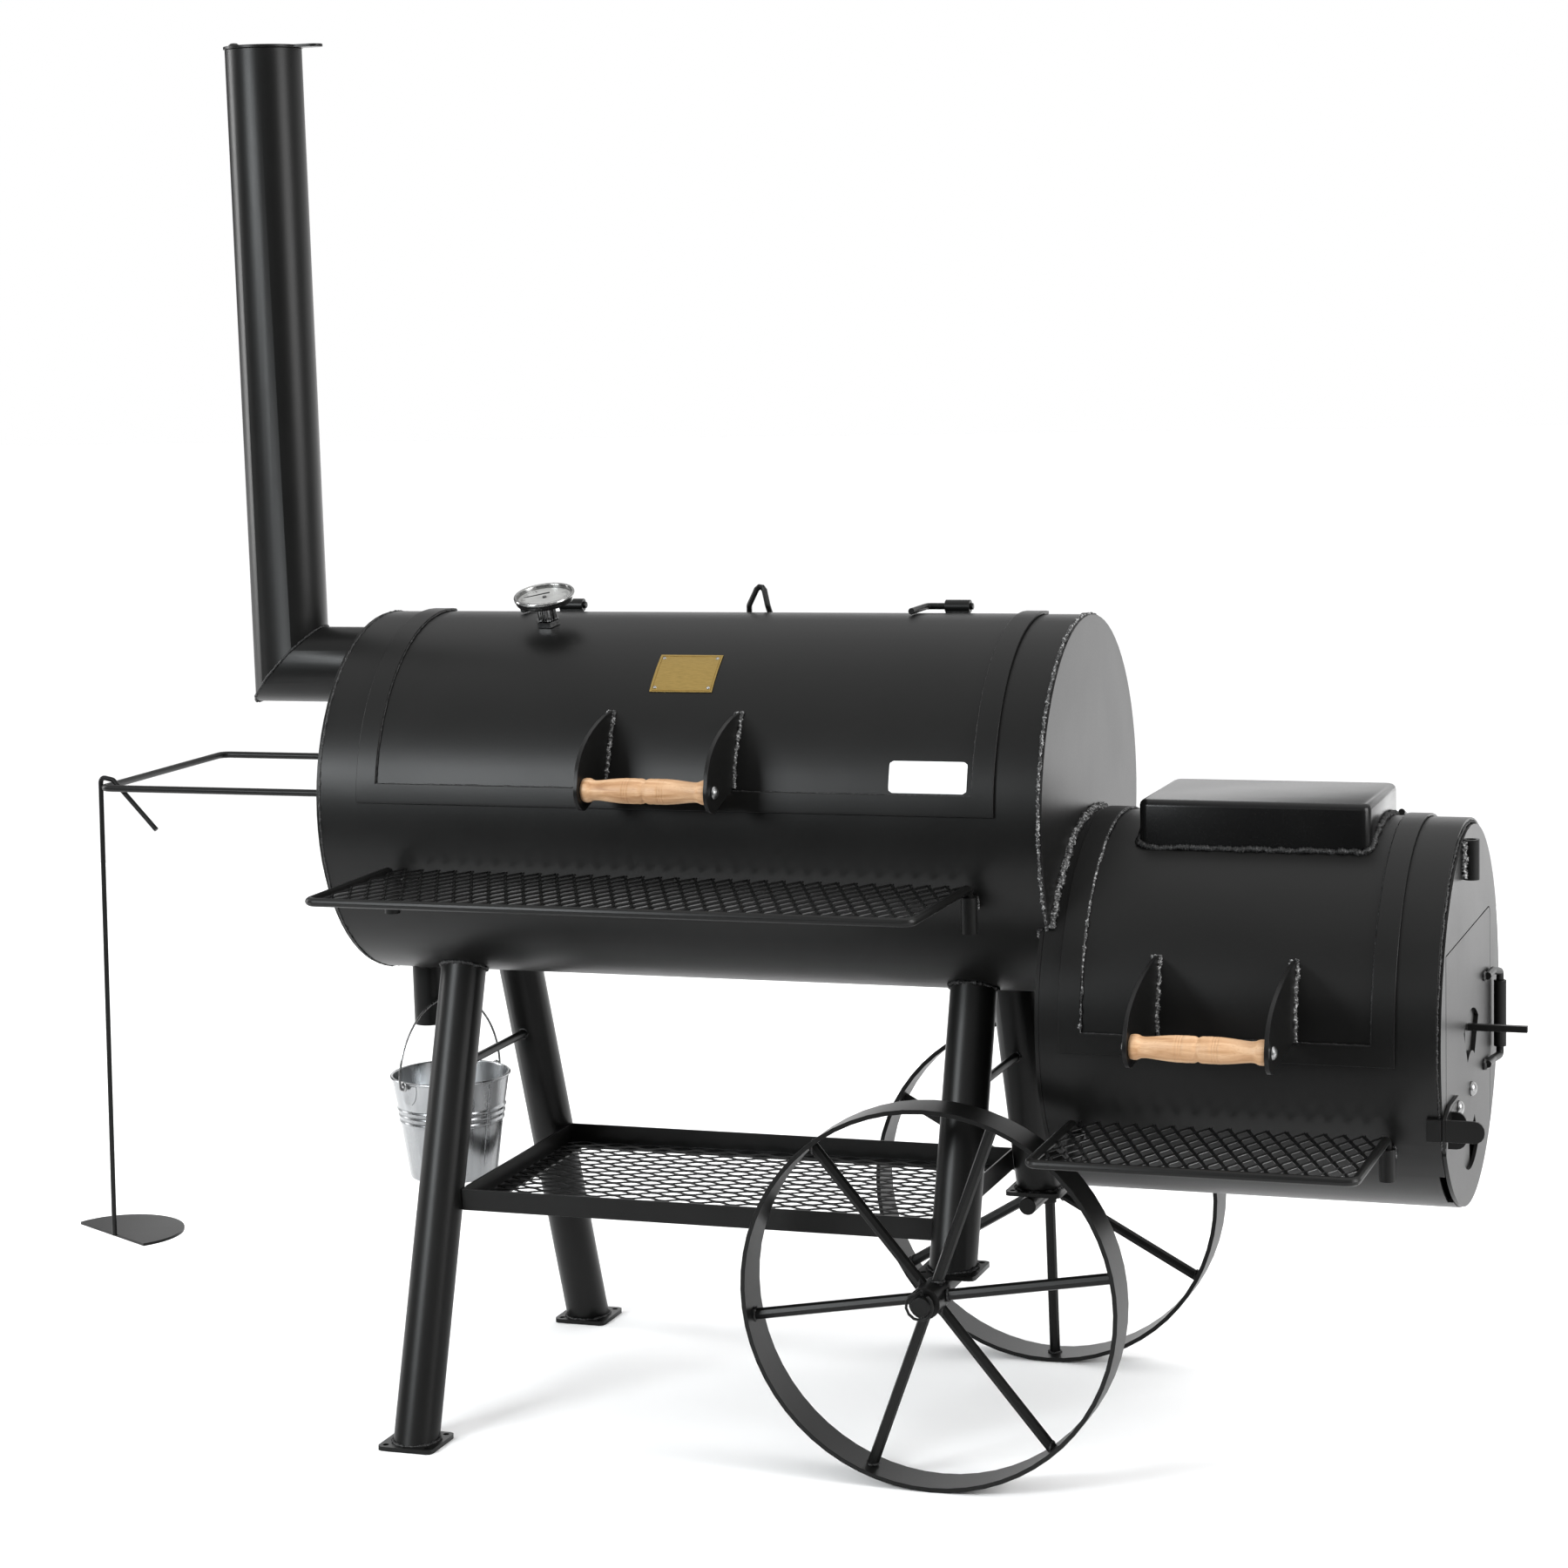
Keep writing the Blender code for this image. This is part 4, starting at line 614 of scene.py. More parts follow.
def hot_plate_base():
    """Seam round the foot of the hot plate, down on the lid."""
    (x0, x1), (y0, y1), radius = HOT_PLATE["x"], HOT_PLATE["y"], HOT_PLATE["corner"]
    corners = ((x1 - radius, y0 + radius, -90), (x1 - radius, y1 - radius, 0), (x0 + radius, y1 - radius, 90),
               (x0 + radius, y0 + radius, 180))
    outline = []
    for cx, cy, start in corners:
        for n in range(7):
            turn = math.radians(start + 15 * n)
            outline.append((cx + (radius + 0.001) * math.cos(turn), cy + (radius + 0.001) * math.sin(turn)))
    dense = spaced([Vector((x, y, 0.0)) for x, y in outline], 0.004, True)
    return [at(p.x, p.y, FIREBOX_Z + math.sqrt((LID_R + 0.0010) ** 2 - p.y ** 2)) for p in dense]


def leg_top(x, side):
    """Curve where a sloping leg meets the underside of the chamber; its height is found step by step."""
    stretch = math.sqrt(1 + LEG_SLOPE ** 2)
    spots = []
    for n in range(48):
        turn = 2 * math.pi * n / 48
        z = 0.63
        for _ in range(12):
            y = side * (LEG_FOOT_Y - LEG_SLOPE * z) + stretch * LEG_R * math.sin(turn)
            z = CHAMBER_Z - math.sqrt((BARREL_R + 0.0008) ** 2 - y ** 2)
        spots.append(at(x + (LEG_R + 0.0006) * math.cos(turn), y, z))
    return spots


def leg_foot(x, side, z):
    """Ellipse where a leg stands on its foot plate."""
    stretch = math.sqrt(1 + LEG_SLOPE ** 2)
    spots = []
    for n in range(40):
        turn = 2 * math.pi * n / 40
        y = side * (LEG_FOOT_Y - LEG_SLOPE * z) + stretch * (LEG_R + 0.0006) * math.sin(turn)
        spots.append(at(x + (LEG_R + 0.0006) * math.cos(turn), y, z))
    return spots


def firebox_on_chamber():
    """Seam of the firebox tube on the chamber's right plate, and under the chamber."""
    lens = math.sqrt(BARREL_R ** 2 - ((CHAMBER_Z - FIREBOX_Z) / 2) ** 2)
    top = math.degrees(math.acos(lens / BARREL_R))
    over = [on_barrel(BARREL_R + 0.001, top + (180 - 2 * top) * n / 90, CHAMBER_LEN + 0.0012, FIREBOX_Z)
            for n in range(91)]
    under = [on_barrel(BARREL_R + 0.0012, -top - (180 - 2 * top) * n / 90, FIREBOX_X0 - 0.0062, CHAMBER_Z)
             for n in range(91)]
    return over, under


def wheel_joints(side):
    """Small collars of weld at both ends of each spoke."""
    lean = WHEEL_LEAN[side]
    paths = []
    for n in range(SPOKES):
        turn = math.radians(lean + 360 / SPOKES * n)
        out = Vector((math.cos(turn), 0.0, math.sin(turn)))
        centre = at(WHEEL["x"], side * WHEEL["y"], WHEEL["r"])
        for reach, size in ((WHEEL["r"] - WHEEL["rim"] - 0.0008, 0.0004), (WHEEL["hub"] + 0.0016, 0.0)):
            paths.append(circle(centre + out * reach, out, WHEEL["spoke"] + size, step=15.0))
    return paths


def hinge_foot(x0, x1, degrees, axis_z):
    """Seams on both sides of a hinge knuckle's web."""
    spread = math.degrees(0.0042 / BARREL_R)
    ends = (x0 + 0.001, x1 - 0.001)
    return [[on_barrel(BARREL_R + 0.001, degrees + side * spread, x, axis_z) for x in ends]
            for side in (-1, 1)]


def short_bead(start, stop, radius, wobble=0.30):
    """Straight bead between two drawing points."""
    return bead([at(*start), at(*stop)], radius, wobble=wobble)


def fitting_welds():
    """Short beads at the shelf sockets and down both sides of the tool socket."""
    welds = []
    for x0, x1, high, axis_z in SHELF_SOCKETS:
        surface = -math.sqrt(BARREL_R ** 2 - (axis_z - high + 0.008) ** 2)
        for x in (x0, x1):
            for side in (-1, 1):
                foot, head = (x + side * 0.0048, surface + 0.001), (x + side * 0.0048, surface - 0.001)
                welds.append(short_bead((*foot, high - 0.020), (*head, high - 0.001), 0.0020))
    low, high = TOOL_SOCKET
    for y, radius in ((-0.0745, 0.0052), (-0.0510, 0.0026)):
        welds.append(short_bead((FACE_X + 0.0025, y, low), (FACE_X + 0.0025, y, high), radius, 0.45))
    return welds


def rod_welds():
    """Beads round the ends of the front and rear rods and the pull frame, and along the hinge webs."""
    rings = []
    for x in (LEGS[0][0], LEGS[2][0]):
        for side in (-1, 1):
            y = side * (LEG_FOOT_Y - LEG_SLOPE * ROD_Z - LEG_R * math.sqrt(1 + LEG_SLOPE ** 2) - 0.0012)
            ring = circle(at(x, y, ROD_Z), (0, side, -LEG_SLOPE), 0.0062, step=12.0)
            rings.append(bead(ring, 0.0022, True))
    for y in PULL_ENDS["y"]:
        end = at(-0.0012, y, PULL_ENDS["z"])
        rings.append(bead(circle(end, (1, 0, 0), 0.0052, step=15.0), 0.0020, True))
    for web in HINGE_WEBS:
        rings += [bead(path, 0.0020) for path in hinge_foot(*web)]
    return rings


def round_joints():
    """Closed seams round the end plates, chimney, collar and drain: path, size, painted highlights."""
    mitre, drain = [], []
    for n in range(72):
        turn = 2 * math.pi * n / 72
        reach = (CHIMNEY_R + 0.0004) * math.cos(turn)
        mitre.append(at(CHIMNEY_X + reach, (CHIMNEY_R + 0.0004) * math.sin(turn), CHIMNEY_Z + reach))
    for n in range(36):
        turn = 2 * math.pi * n / 36
        y = (DRAIN["r"] + 0.0005) * math.sin(turn)
        drain.append(at(DRAIN["x"] + (DRAIN["r"] + 0.0005) * math.cos(turn), y,
                        CHAMBER_Z - math.sqrt((BARREL_R + 0.001) ** 2 - y ** 2)))
    right = circle(at(CHAMBER_LEN - 0.0050, 0, CHAMBER_Z), (1, 0, 0), BARREL_R - 0.0002)
    left = circle(at(0.0052, 0, CHAMBER_Z), (1, 0, 0), BARREL_R - 0.0002)
    collar = circle(at(0.0, 0, CHIMNEY_Z), (1, 0, 0), COLLAR_R)
    return {"chamber_right": (right, 0.0027, True), "chamber_left": (left, 0.0016, False),
            "chimney_mitre": (mitre, 0.0018, False), "chimney_collar": (collar, 0.0024, False),
            "drain": (drain, 0.0022, False)}


def stand_seams(wear_and_glint_weld, dark):
    """Seams of everything that stands still: each group is one mesh."""
    for name, (path, radius, with_glints) in round_joints().items():
        # with_glints picks the weld whose light greys are worn paint and painted highlights
        piece(f"seam_{name}", bead(path, radius, True), "stand", wear_and_glint_weld if with_glints else dark)
    face = circle(at(FIREBOX_X1 + 0.0004, 0, FACE_Z + 0.0015), (1, 0, 0), FACE_R + 0.0010, *FACE_WELD)
    piece("seam_firebox_face", bead(face, 0.0020), "stand", dark)
    legs = [bead(leg_top(x, side), 0.0034, True) for x, side, z in LEGS]
    legs += [bead(leg_foot(x, side, z), 0.0026, True) for x, side, z in LEGS]
    piece("seam_legs", merged(legs), "stand", dark)
    over, under = firebox_on_chamber()
    # The firebox joint and the socket welds take the weld with worn paint and painted highlights
    joint = [bead(over, 0.0066, wobble=0.4), bead(under, 0.0044, wobble=0.4)]
    piece("seam_firebox_joint", merged(joint), "stand", wear_and_glint_weld)
    piece("seam_rods", merged(rod_welds()), "stand", dark)
    piece("seam_fittings", merged(fitting_welds()), "stand", wear_and_glint_weld)


def lid_seams(prefix, lid, handle, left_radius, left_look, wear_and_glint_weld, dark):
    """Seams of one lid: its left edge, its other edges and the feet of the handle fins."""
    body = f"{prefix}_lid_group"
    piece(f"seam_{prefix}_lid_left_edge", bead(lid_edge(lid, -1), left_radius), body, left_look)
    edges = [bead(lid_edge(lid, 1), 0.0014), bead(lid_lower_edge(lid), 0.0013)]
    piece(f"seam_{prefix}_lid_edging", merged(edges), body, dark)
    roots = [bead(path, 0.0044, wobble=0.45) for path in fin_roots(handle)]
    piece(f"seam_{prefix}_lid_fins", merged(roots), body, wear_and_glint_weld)
# Fin roots take the weld with worn paint and painted highlights


def moving_seams(wear_and_glint_weld, dark):
    """Seams on the lids, the door and the wheels, each on its own body."""
    lid_seams("chamber", CHAMBER_LID, CHAMBER_HANDLE, 0.0013, dark, wear_and_glint_weld, dark)
    # The firebox lid's left edge faces the light, so it gets the weld with painted highlights; its right edge
    # keeps black weld
    lid_seams("firebox", FIREBOX_LID, FIREBOX_HANDLE, 0.0024, wear_and_glint_weld, wear_and_glint_weld, dark)
    piece("seam_hot_plate", bead(hot_plate_base(), 0.0050, True, wobble=0.35), "firebox_lid_group", dark)
    staple = []
    for z in STAPLE_ENDS["z"]:
        ring = circle(at(FACE_X + 0.0012, STAPLE_ENDS["y"], z), (1, 0, 0), 0.0046, step=20.0)
        staple.append(bead(ring, 0.0030, True, 0.002))
    piece("seam_door_hinge", merged(staple), "door_group", dark)
    for end, side in (("front", -1), ("rear", 1)):
        joints = [bead(path, 0.0022, True, 0.003) for path in wheel_joints(side)]
        piece(f"seam_{end}_wheel", merged(joints), f"{end}_wheel", dark)


# ------------------------------------------------------ expanded metal
def expanded_metal(x_range, y_range, z, long_way, short_way, strand, gauge, tilt, along_x, cut=0.0):
    """Raised diamond mesh: zigzag ribbons, tilted about their run, that meet at flat bonds.

    The ribbons run along x or along y. Along y, cut trims the two corners at the low-y side by a diagonal.
    """
    (x0, x1), (y0, y1) = x_range, y_range
    run, width = ((x0, x1), (y0, y1)) if along_x else ((y0, y1), (x0, x1))
    count = max(2, round((width[1] - width[0]) / (short_way / 2)))
    pitch = (width[1] - width[0]) / count
    steps = max(2, round((run[1] - run[0]) / (long_way / 2)))
    half = (run[1] - run[0]) / steps
    lean = math.radians(tilt)
    swing = pitch / 2 - strand * math.cos(lean) / 2
    bond = half * 0.16
    section = ((-0.5, -0.5), (0.5, -0.5), (0.5, 0.5), (-0.5, 0.5))
    shapes = []
    for ribbon in range(count):
        middle = width[0] + pitch * (ribbon + 0.5)
        low, high = run
        low += max(0.0, cut - (middle - x0), cut - (x1 - middle)) if cut else 0.0
        spots = []
        for n in range(steps + 1):
            side = 1 if (n + ribbon) % 2 else -1
            for nudge in (-bond, bond):
                place = run[0] + half * n + nudge
                spots.append((min(max(place, low), high), middle + side * swing))
        kept = [spots[0]]
        for spot in spots[1:]:
            if spot[0] - kept[-1][0] > 0.0004:
                kept.append(spot)
        points = []
        for place, across in kept:
            for u, v in section:
                shift = u * strand * math.cos(lean) - v * gauge * math.sin(lean)
                rise = u * strand * math.sin(lean) + v * gauge * math.cos(lean)
                if along_x:
                    points.append(at(place, across + shift, z + rise))
                else:
                    points.append(at(across + shift, place, z + rise))
        shapes.append((points, tube_faces(len(kept), 4, False)))
    return merged(shapes)


def mesh_sheets(paint):
    """Diamond mesh of the lower rack and of both lift-out shelves."""
    rack = expanded_metal((0.172, 0.847), (-0.186, 0.186), 0.3086, 0.052, 0.026, along_x=True,
                          strand=0.0030, gauge=0.0014, tilt=14.0)
    piece("lower_rack_diamonds", rack, "stand", paint, ("lower_rack_mesh",), flat_above=30)
    style = dict(strand=0.0042, gauge=0.0024, tilt=32.0)
    for prefix, xs, ys, z in (("front", (0.1185, 0.9235), (-0.5065, -0.2560), 0.790),
                              ("firebox", (1.0665, 1.4575), (-0.4635, -0.2430), 0.486)):
        shape = expanded_metal(xs, ys, z, 0.053, 0.0246, along_x=False, cut=0.010, **style)
        piece(f"{prefix}_shelf_diamonds", shape, f"{prefix}_shelf", paint,
              (f"{prefix}_shelf_mesh",), flat_above=30)


# ------------------------------------------------------ handles
def grip_profile(length):
    """Turned grip: end collars, two swells, a pair of rings beside each and a waist in the middle."""
    half = length / 2
    shape = [(0.0, 0.0146), (0.0010, 0.0154), (0.0045, 0.0161), (0.0085, 0.0159), (0.0115, 0.0148),
             (0.0130, 0.0139), (0.0160, 0.0133), (0.0200, 0.0132), (0.0280, 0.0139), (0.0380, 0.0151),
             (0.0480, 0.0161), (0.0560, 0.0166)]
    for ring in (0.0590, 0.0625, 0.0660):
        shape += [(ring - 0.0007, 0.0168), (ring, 0.0163), (ring + 0.0007, 0.0168)]
    shape += [(0.0700, 0.0169), (0.0740, 0.0168), (half - 0.0105, 0.0166), (half - 0.0075, 0.0168),
              (half - 0.0040, 0.0165), (half - 0.0012, 0.0152), (half, 0.0149)]
    return shape + [(length - along, radius) for along, radius in reversed(shape[:-1])]


def grips():
    """Two turned beech grips on their bolts."""
    bore = 0.0044
    for number, (prefix, handle) in enumerate((("chamber", CHAMBER_HANDLE), ("firebox", FIREBOX_HANDLE))):
        start = handle["fins"][0] + FIN_T / 2 + 0.0003
        length = handle["fins"][1] - FIN_T / 2 - 0.0003 - start
        profile = grip_profile(length)
        loop = [(0.0, bore), *profile, (length, bore)]
        beech = beech_material(f"beech_{prefix}", 1.7 + 3.1 * number)
        piece(f"{prefix}_turned_grip", turned(at(start, *handle["grip"]), (1, 0, 0), loop, 64),
              f"{prefix}_lid_group", beech, (f"{prefix}_lid_grip",), flat_above=55)


# ------------------------------------------------------ thermometer, plate, label, rivets
def fluted(foot, out, low, high, radius, flutes, depth):
    """Short stem with grooves along it."""
    across = Vector((1.0, 0.0, 0.0))
    other = across.cross(out)
    sides = 6 * flutes
    points = []
    for along in (low, high):
        for n in range(sides):
            turn = 2 * math.pi * n / sides
            reach = radius - depth * (0.5 + 0.5 * math.cos(flutes * turn))
            points.append(foot + out * along + (across * math.cos(turn) + other * math.sin(turn)) * reach)
    return points, tube_faces(2, sides, False)


def dial_marks(foot, out, up):
    """Ring of printed strokes, every fifth of them longer and wider."""
    count, sweep = 41, 270
    marks = []
    for n in range(count):
        lean = math.radians(sweep * n / (count - 1) - sweep / 2)
        along = up * math.cos(lean) + Vector((1.0, 0.0, 0.0)) * math.sin(lean)
        side = out.cross(along)
        reach, half = (0.0265, 0.0006) if n % 5 == 0 else (0.0300, 0.0003)
        base = foot + out * (DIAL_H + 0.00025)
        corners = ((reach, -half), (0.0335, -half), (0.0335, half), (reach, half))
        flat = [base + along * a + side * b for a, b in corners]
        marks.append((flat + [p + out * 0.00016 for p in flat], tube_faces(2, 4, False)))
    return merged(marks)


def hexagon_nut(foot, out):
    """Hexagon nut with chamfered corners."""
    across = Vector((1.0, 0.0, 0.0))
    other = across.cross(out)
    points = []
    for height, radius in ((0.0046, 0.0164), (0.0056, 0.0172), (0.0128, 0.0172), (0.0138, 0.0150)):
        for n in range(6):
            turn = math.pi * n / 3
            spoke = across * math.cos(turn) + other * math.sin(turn)
            points.append(foot + out * height + spoke * radius)
    return points, tube_faces(4, 6, False)


def thermometer(steel, chrome):
    """Nut, fluted stem, pressed case, rolled bezel, printed dial and the boss of the needle."""
    body = "chamber_lid_group"
    turn = math.radians(THERMOMETER["a"])
    out = Vector((0.0, -math.cos(turn), math.sin(turn)))
    up = Vector((1.0, 0.0, 0.0)).cross(out)
    foot = on_barrel(THERMOMETER["r"], THERMOMETER["a"], THERMOMETER["x"], CHAMBER_Z)
    piece("thermometer_nut", hexagon_nut(foot, out), body, chrome, flat_above=25)
    stem = fluted(foot, out, 0.0125, 0.0395, 0.0130, 12, 0.0022)
    piece("thermometer_stem", stem, body, chrome, flat_above=60)
    case = [(0.0378, 0.0), (0.0378, 0.0230), (0.0380, 0.0340), (0.0390, 0.0388), (0.0412, 0.0402),
            (0.0436, 0.0406), (0.0446, 0.0412), (0.0458, 0.0421), (0.0478, 0.0426), (0.0498, 0.0422),
            (0.0509, 0.0411), (0.0511, 0.0395), (0.0504, 0.0383), (0.0488, 0.0377), (0.0451, 0.0374),
            (0.0443, 0.0374), (0.0443, 0.0)]
    piece("thermometer_bezel", turned(foot, out, case, 96), body, steel,
          ("thermometer_case",), flat_above=50)
    under, over, radius = DIAL_H - 0.0001, DIAL_H + 0.0003, 0.0372
    face = [(under, 0.0), (under, radius), (over, radius), (over, 0.0)]
    piece("thermometer_dial", turned(foot, out, face, 64), body, dial_material(), flat_above=40)
    piece("thermometer_scale", dial_marks(foot, out, up), body, ink_material(), flat_above=30)
    boss = [(0.0, 0.0), (0.0, 0.0030), (0.0018, 0.0026), (0.0022, 0.0)]
    boss = [(DIAL_H + 0.0004 + along, radius) for along, radius in boss]
    piece("thermometer_needle_boss", turned(foot, out, boss, 24), "needle", chrome, flat_above=50)


def curved_sheet(x_range, angles, low, high, radius):
    """Rectangle with round corners between two radii of the chamber, made of rows across it."""
    x0, x1 = x_range
    a0, a1 = angles
    steps = 14
    scale = math.radians(1.0) * low
    height = (a1 - a0) * scale
    points = []
    for n in range(steps + 1):
        v = height * n / steps
        edge = min(v, height - v)
        inset = radius - math.sqrt(radius ** 2 - (radius - edge) ** 2) if edge < radius else 0.0
        for size, x in ((low, x0 + inset), (low, x1 - inset), (high, x1 - inset), (high, x0 + inset)):
            points.append(on_barrel(size, a0 + v / scale, x, CHAMBER_Z))
    return points, tube_faces(steps + 1, 4, False)


def plates_on_lid(brass, zinc):
    """Border and rivets of the brass plate, and the blank white label."""
    body = "chamber_lid_group"
    low, high = LID_R + 0.0011, LID_R + 0.0017
    (x0, x1), (a0, a1), wide, tall = NAME_PLATE["x"], NAME_PLATE["a"], 0.0012, 0.3
    strips = []
    for xs, angles in (((x0, x1), (a0, a0 + tall)), ((x0, x1), (a1 - tall, a1)),
                       ((x0, x0 + wide), (a0 + tall, a1 - tall)), ((x1 - wide, x1), (a0 + tall, a1 - tall))):
        strips.append(curved_sheet(xs, angles, low, high, 0.0001))
    piece("name_plate_border", merged(strips), body, brass, flat_above=30)
    studs = []
    for x in (x0 + 0.004, x1 - 0.004):
        for degrees in (a0 + 1.1, a1 - 1.1):
            foot = on_barrel(LID_R + 0.0010, degrees, x, CHAMBER_Z)
            out = foot - on_barrel(0.0, 0.0, x, CHAMBER_Z)
            head = [(0.0, 0.0), (0.0, 0.0024), (0.0007, 0.0021), (0.0012, 0.0012), (0.0014, 0.0)]
            studs.append(turned(foot, out, head, 20))
    piece("name_plate_rivets", merged(studs), body, zinc, flat_above=60)
    label = curved_sheet(LABEL["x"], LABEL["a"], LID_R + 0.0001, LID_R + 0.0004, LABEL["corner"])
    piece("blank_label", label, body, label_material(), flat_above=30)


def dome(centre, direction, radius, height):
    """Round rivet or bolt head."""
    direction = Vector(direction).normalized()
    profile = [(-0.0006, 0.0), (-0.0006, radius)]
    profile += [(height * math.sin(math.pi * n / 16), radius * math.cos(math.pi * n / 16)) for n in range(8)]
    profile.append((height, 0.0))
    return turned(centre, direction, profile, 32)


def rivets(zinc):
    """Bright heads of the rivets that the door's shutter and the latch turn on."""
    piece("door_rivet", dome(at(FACE_X + 0.0006, 0.0, 0.498), (1, 0, 0), 0.0098, 0.0072), "shutter", zinc)
    piece("latch_rivet", dome(at(FACE_X + 0.0062, -0.142, 0.505), (1, 0, 0), 0.0098, 0.0064), "latch", zinc)


# ------------------------------------------------------ bucket
def wall_radius(along):
    """Outer radius of the bucket's tapered wall at a height above its foot."""
    r0, r1 = BUCKET["r"]
    return r0 + (r1 - r0) * along / BUCKET_H


def bucket_profile():
    """From the raised bottom over the foot, the ribs and the rolled rim, and back down inside."""
    r0, r1 = BUCKET["r"]
    profile = [(0.0035, 0.0), (0.0035, r0 - 0.004), (0.0, r0 - 0.003), (0.0, r0 - 0.001),
               (0.0020, r0 + 0.0002)]
    for middle in RIBS:
        for n in range(9):
            along = middle + 0.0045 * (n / 4 - 1)
            swell = 0.0017 * (0.5 + 0.5 * math.cos(math.pi * (n / 4 - 1)))
            profile.append((along, wall_radius(along) + swell - 0.0016))
    curl = 0.0022
    for n in range(13):
        turn = math.radians(-100 + 280 * n / 12)
        profile.append((BUCKET_H - curl + curl * math.sin(turn), r1 - 0.0012 + curl * math.cos(turn)))
    return profile + [(BUCKET_H - 0.006, r1 - 0.0042), (0.0044, r0 - 0.0032), (0.0044, 0.0)]


def side_seam(foot, side):
    """Thin raised seam up the bucket's wall, midway between the ears."""
    cross = Vector((-EAR_DIR.y, EAR_DIR.x, 0.0))
    line = []
    for n in range(24):
        along = 0.004 + (BUCKET_H - 0.012) * n / 23
        line.append(foot + cross * side * (wall_radius(along) - 0.0012) + Vector((0, 0, along)))
    return swept(line, 0.0011, 6)


def bail_path(middle):
    """Half circle over the bucket, with a curl at each end."""
    reach, rise = BUCKET["r"][1] + BAIL_OUT, BAIL_TOP - EAR_Z
    turns = [math.pi * n / 48 for n in range(49)]
    arch = [middle + EAR_DIR * reach * math.cos(turn) + Vector((0, 0, rise * math.sin(turn)))
            for turn in turns]
    return bail_curl(middle, 1, reach)[::-1] + arch + bail_curl(middle, -1, reach)


def bucket(zinc, wire):
    """Tapered galvanised bucket with rolled rim, three ribs, side seams, ear plates and a wire bail."""
    foot = at(*BUCKET["centre"], BUCKET["z"][0])
    middle = at(*BUCKET["centre"], EAR_Z)
    piece("bucket_shell", turned(foot, (0, 0, 1), bucket_profile(), 96), "bucket_body", zinc,
          ("bucket",), flat_above=50)
    loops = []
    for side in (-1, 1):
        eye = middle + EAR_DIR * side * (BUCKET["r"][1] + 0.0032)
        loops.append(swept(circle(eye, EAR_DIR, 0.0062, step=15.0), BAIL_R, 10, True))
    piece("bucket_side_seams", merged([side_seam(foot, side) for side in (-1, 1)]), "bucket_body", zinc)
    piece("bucket_ear_plates", merged([ear_plate(foot, side) for side in (-1, 1)]), "bucket_body", zinc,
          flat_above=40)
    piece("bucket_ear_eyes", merged(loops), "bucket_body", wire)
    piece("bucket_bail_wire", swept(bail_path(middle), BAIL_R, 12), "bail", wire,
          ("bucket_bail",))


def ear_plate(foot, side):
    """Pressed tab that holds an ear to the bucket: a rounded shield lying on the wall."""
    centre = math.atan2(EAR_DIR.y * side, EAR_DIR.x * side)
    points, rows, columns = [], 8, 10
    for skin in (0.0004, 0.0014):
        for row in range(rows + 1):
            v = row / rows
            along = BUCKET_H - 0.034 + 0.029 * v
            half = 0.21 * math.sqrt(max(0.05, 1 - (1 - v) ** 2)) + 0.02
            for column in range(columns + 1):
                turn = centre + half * (2 * column / columns - 1)
                radius = wall_radius(along) - 0.0016 + skin
                points.append(foot + Vector((radius * math.cos(turn), radius * math.sin(turn), along)))
    wide = columns + 1
    layer = wide * (rows + 1)
    faces = []
    for row in range(rows):
        for column in range(columns):
            k = row * wide + column
            faces.append([k, k + wide, k + wide + 1, k + 1])
            faces.append([layer + k, layer + k + 1, layer + k + wide + 1, layer + k + wide])
    border = list(range(wide)) + [wide * r + columns for r in range(1, rows + 1)]
    border += [wide * rows + c for c in range(columns - 1, -1, -1)]
    border += [wide * r for r in range(rows - 1, 0, -1)]
    for here, there in zip(border, border[1:] + border[:1]):
        faces.append([here, there, layer + there, layer + here])
    return points, faces


def bail_curl(middle, side, reach):
    """Wire end that passes through the ear's eye and curls back up outside."""
    out = EAR_DIR * side
    spots = []
    for n in range(1, 15):
        turn = math.radians(-20 * n)
        sideways = out * (reach - CURL_R + CURL_R * math.cos(turn))
        spots.append(middle + sideways + Vector((0, 0, CURL_R * math.sin(turn))))
    return spots


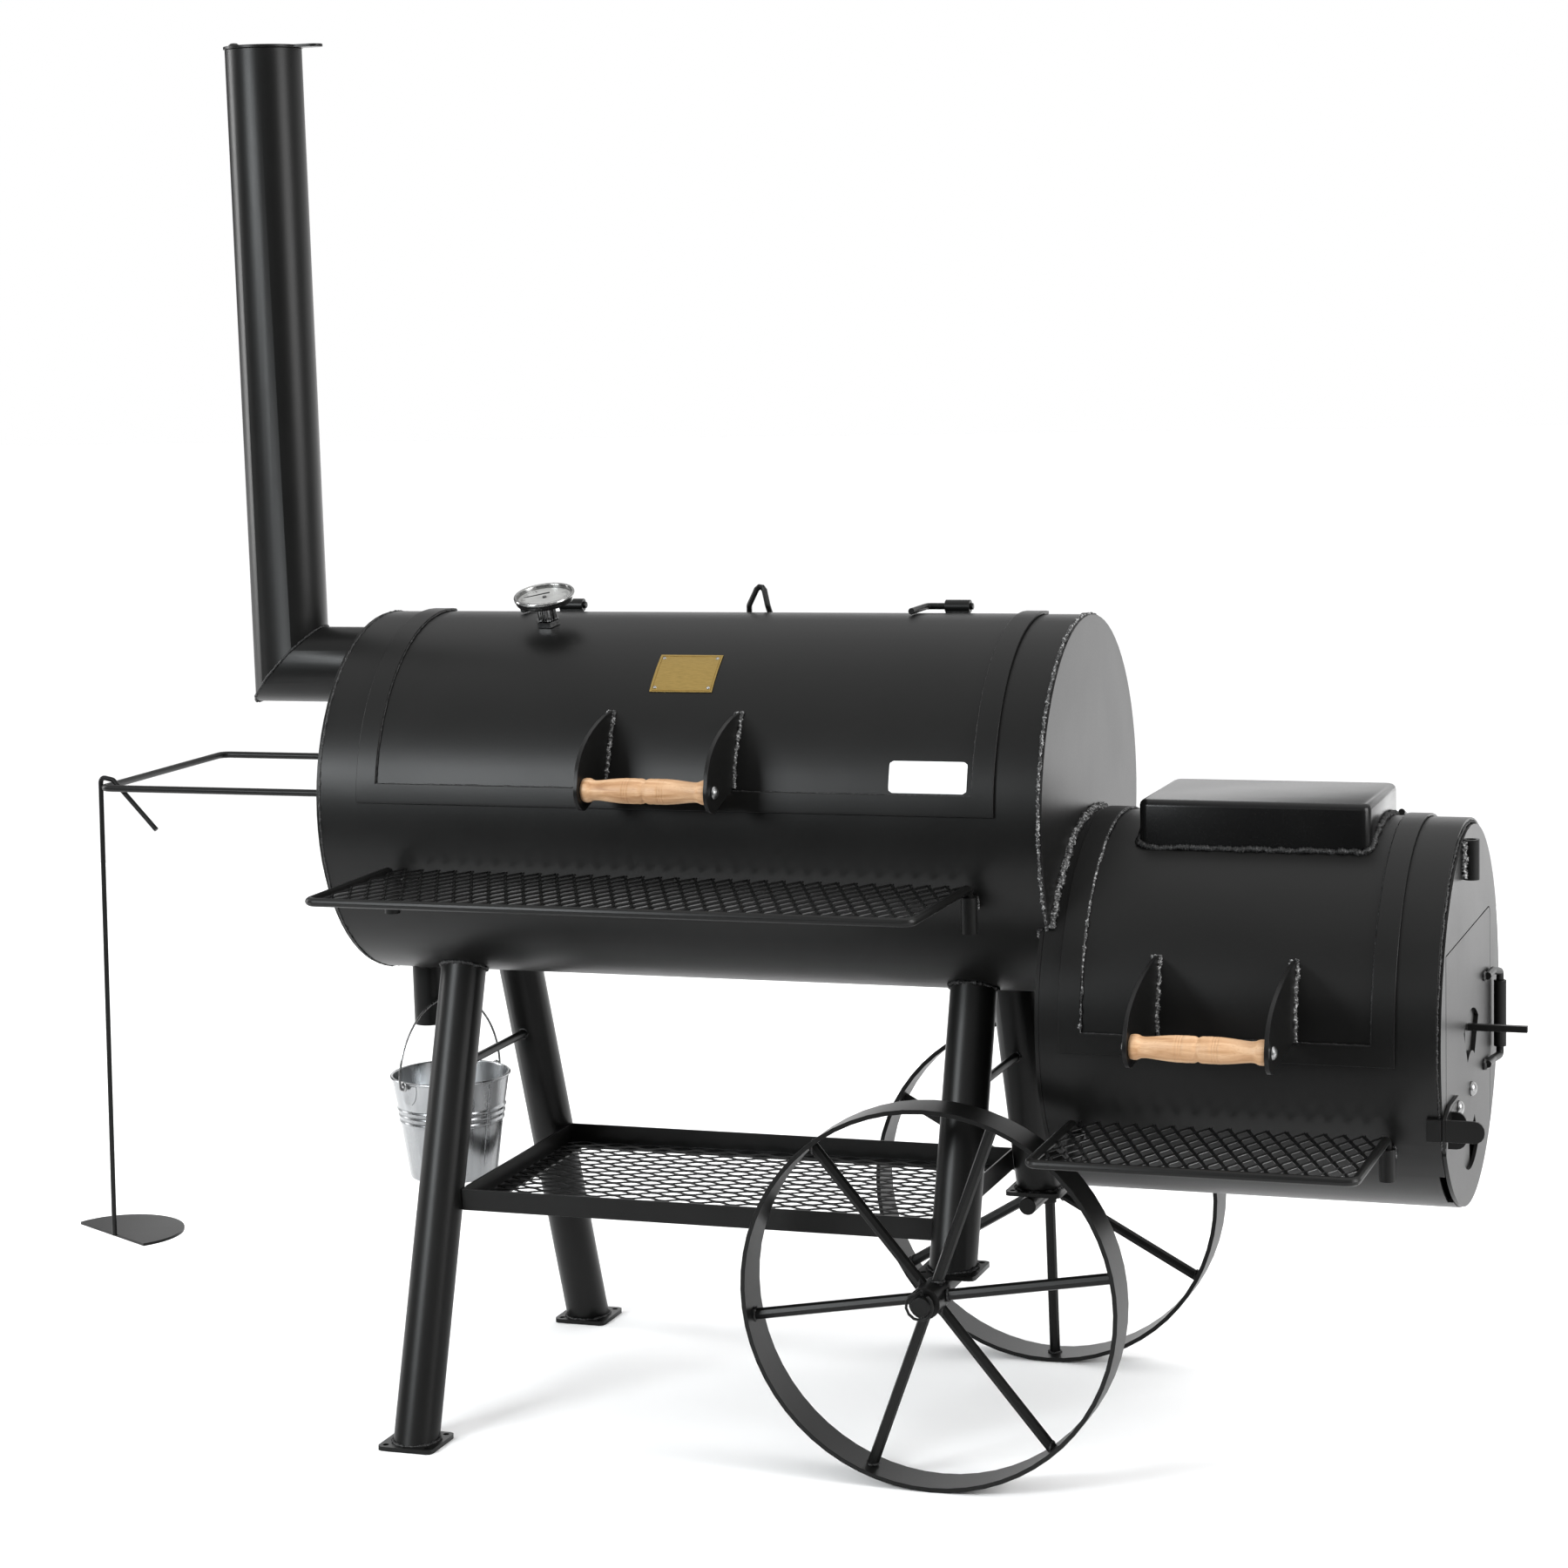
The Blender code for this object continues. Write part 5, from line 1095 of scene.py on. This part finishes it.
# ------------------------------------------------------ CAD nodes that stay
def cad_nodes(paint, gloss, brass, zinc, iron):
    """Softer edges and the right material on every CAD node; paint and 0.7 mm where nothing else is said."""
    special = {"name_plate": brass, "chamber_grip_bolt": zinc, "firebox_grip_bolt": zinc,
               "cooking_grate_left": iron, "cooking_grate_right": iron, "charcoal_grate": iron,
               "hot_plate": gloss}
    edges = {"chamber_barrel": 0.0006, "firebox_barrel": 0.0006, "chamber_lid": 0.0009,
             "firebox_lid": 0.0009, "hot_plate": 0.0012, "name_plate": 0.0002,
             "thermometer_needle": 0.0001}
    for name in sorted(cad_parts):
        refine(name, special.get(name, paint), edges.get(name, 0.0007))


def build():
    """Everything that shows, in order."""
    camera()
    studio()
    paint = satin_paint("satin_black_paint", (0.0048, 0.0048, 0.0046), 0.36)
    gloss = satin_paint("glossy_black_paint", (0.0040, 0.0040, 0.0040), 0.24, peel=0.20)
    mesh_paint = satin_paint("mesh_black_paint", (0.0046, 0.0046, 0.0045), 0.38, peel=0.3)
    # Weld whose light grey spatter is worn paint and painted highlights, for the seams that catch the light
    wear_and_glint_weld = weld_material("weld_wear_and_painted_glints", (0.012, 0.070, 0.36))
    dark = weld_material("black_painted_weld", (0.004, 0.010, 0.040))
    brass = metal("brass_sheet", (0.23, 0.16, 0.052), (0.31, 0.215, 0.072), 0.38, (1.0, 14.0, 1.0), 120.0)
    zinc = metal("zinc_plate", (0.20, 0.20, 0.20), (0.34, 0.34, 0.34), 0.32)
    steel = metal("stainless_bezel", (0.24, 0.24, 0.24), (0.36, 0.36, 0.35), 0.20)
    chrome = metal("dark_chrome", (0.07, 0.07, 0.07), (0.15, 0.15, 0.15), 0.12)
    wire = metal("bright_wire", (0.22, 0.22, 0.22), (0.38, 0.38, 0.38), 0.26, (1.0, 1.0, 0.1))
    galvanised = galvanised_material()
    cad_nodes(paint, gloss, brass, zinc, iron_material())
    stand_seams(wear_and_glint_weld, dark)
    moving_seams(wear_and_glint_weld, dark)
    mesh_sheets(mesh_paint)
    grips()
    thermometer(steel, chrome)
    plates_on_lid(brass, zinc)
    rivets(zinc)
    bucket(galvanised, wire)


build()
bpy.context.view_layer.update()
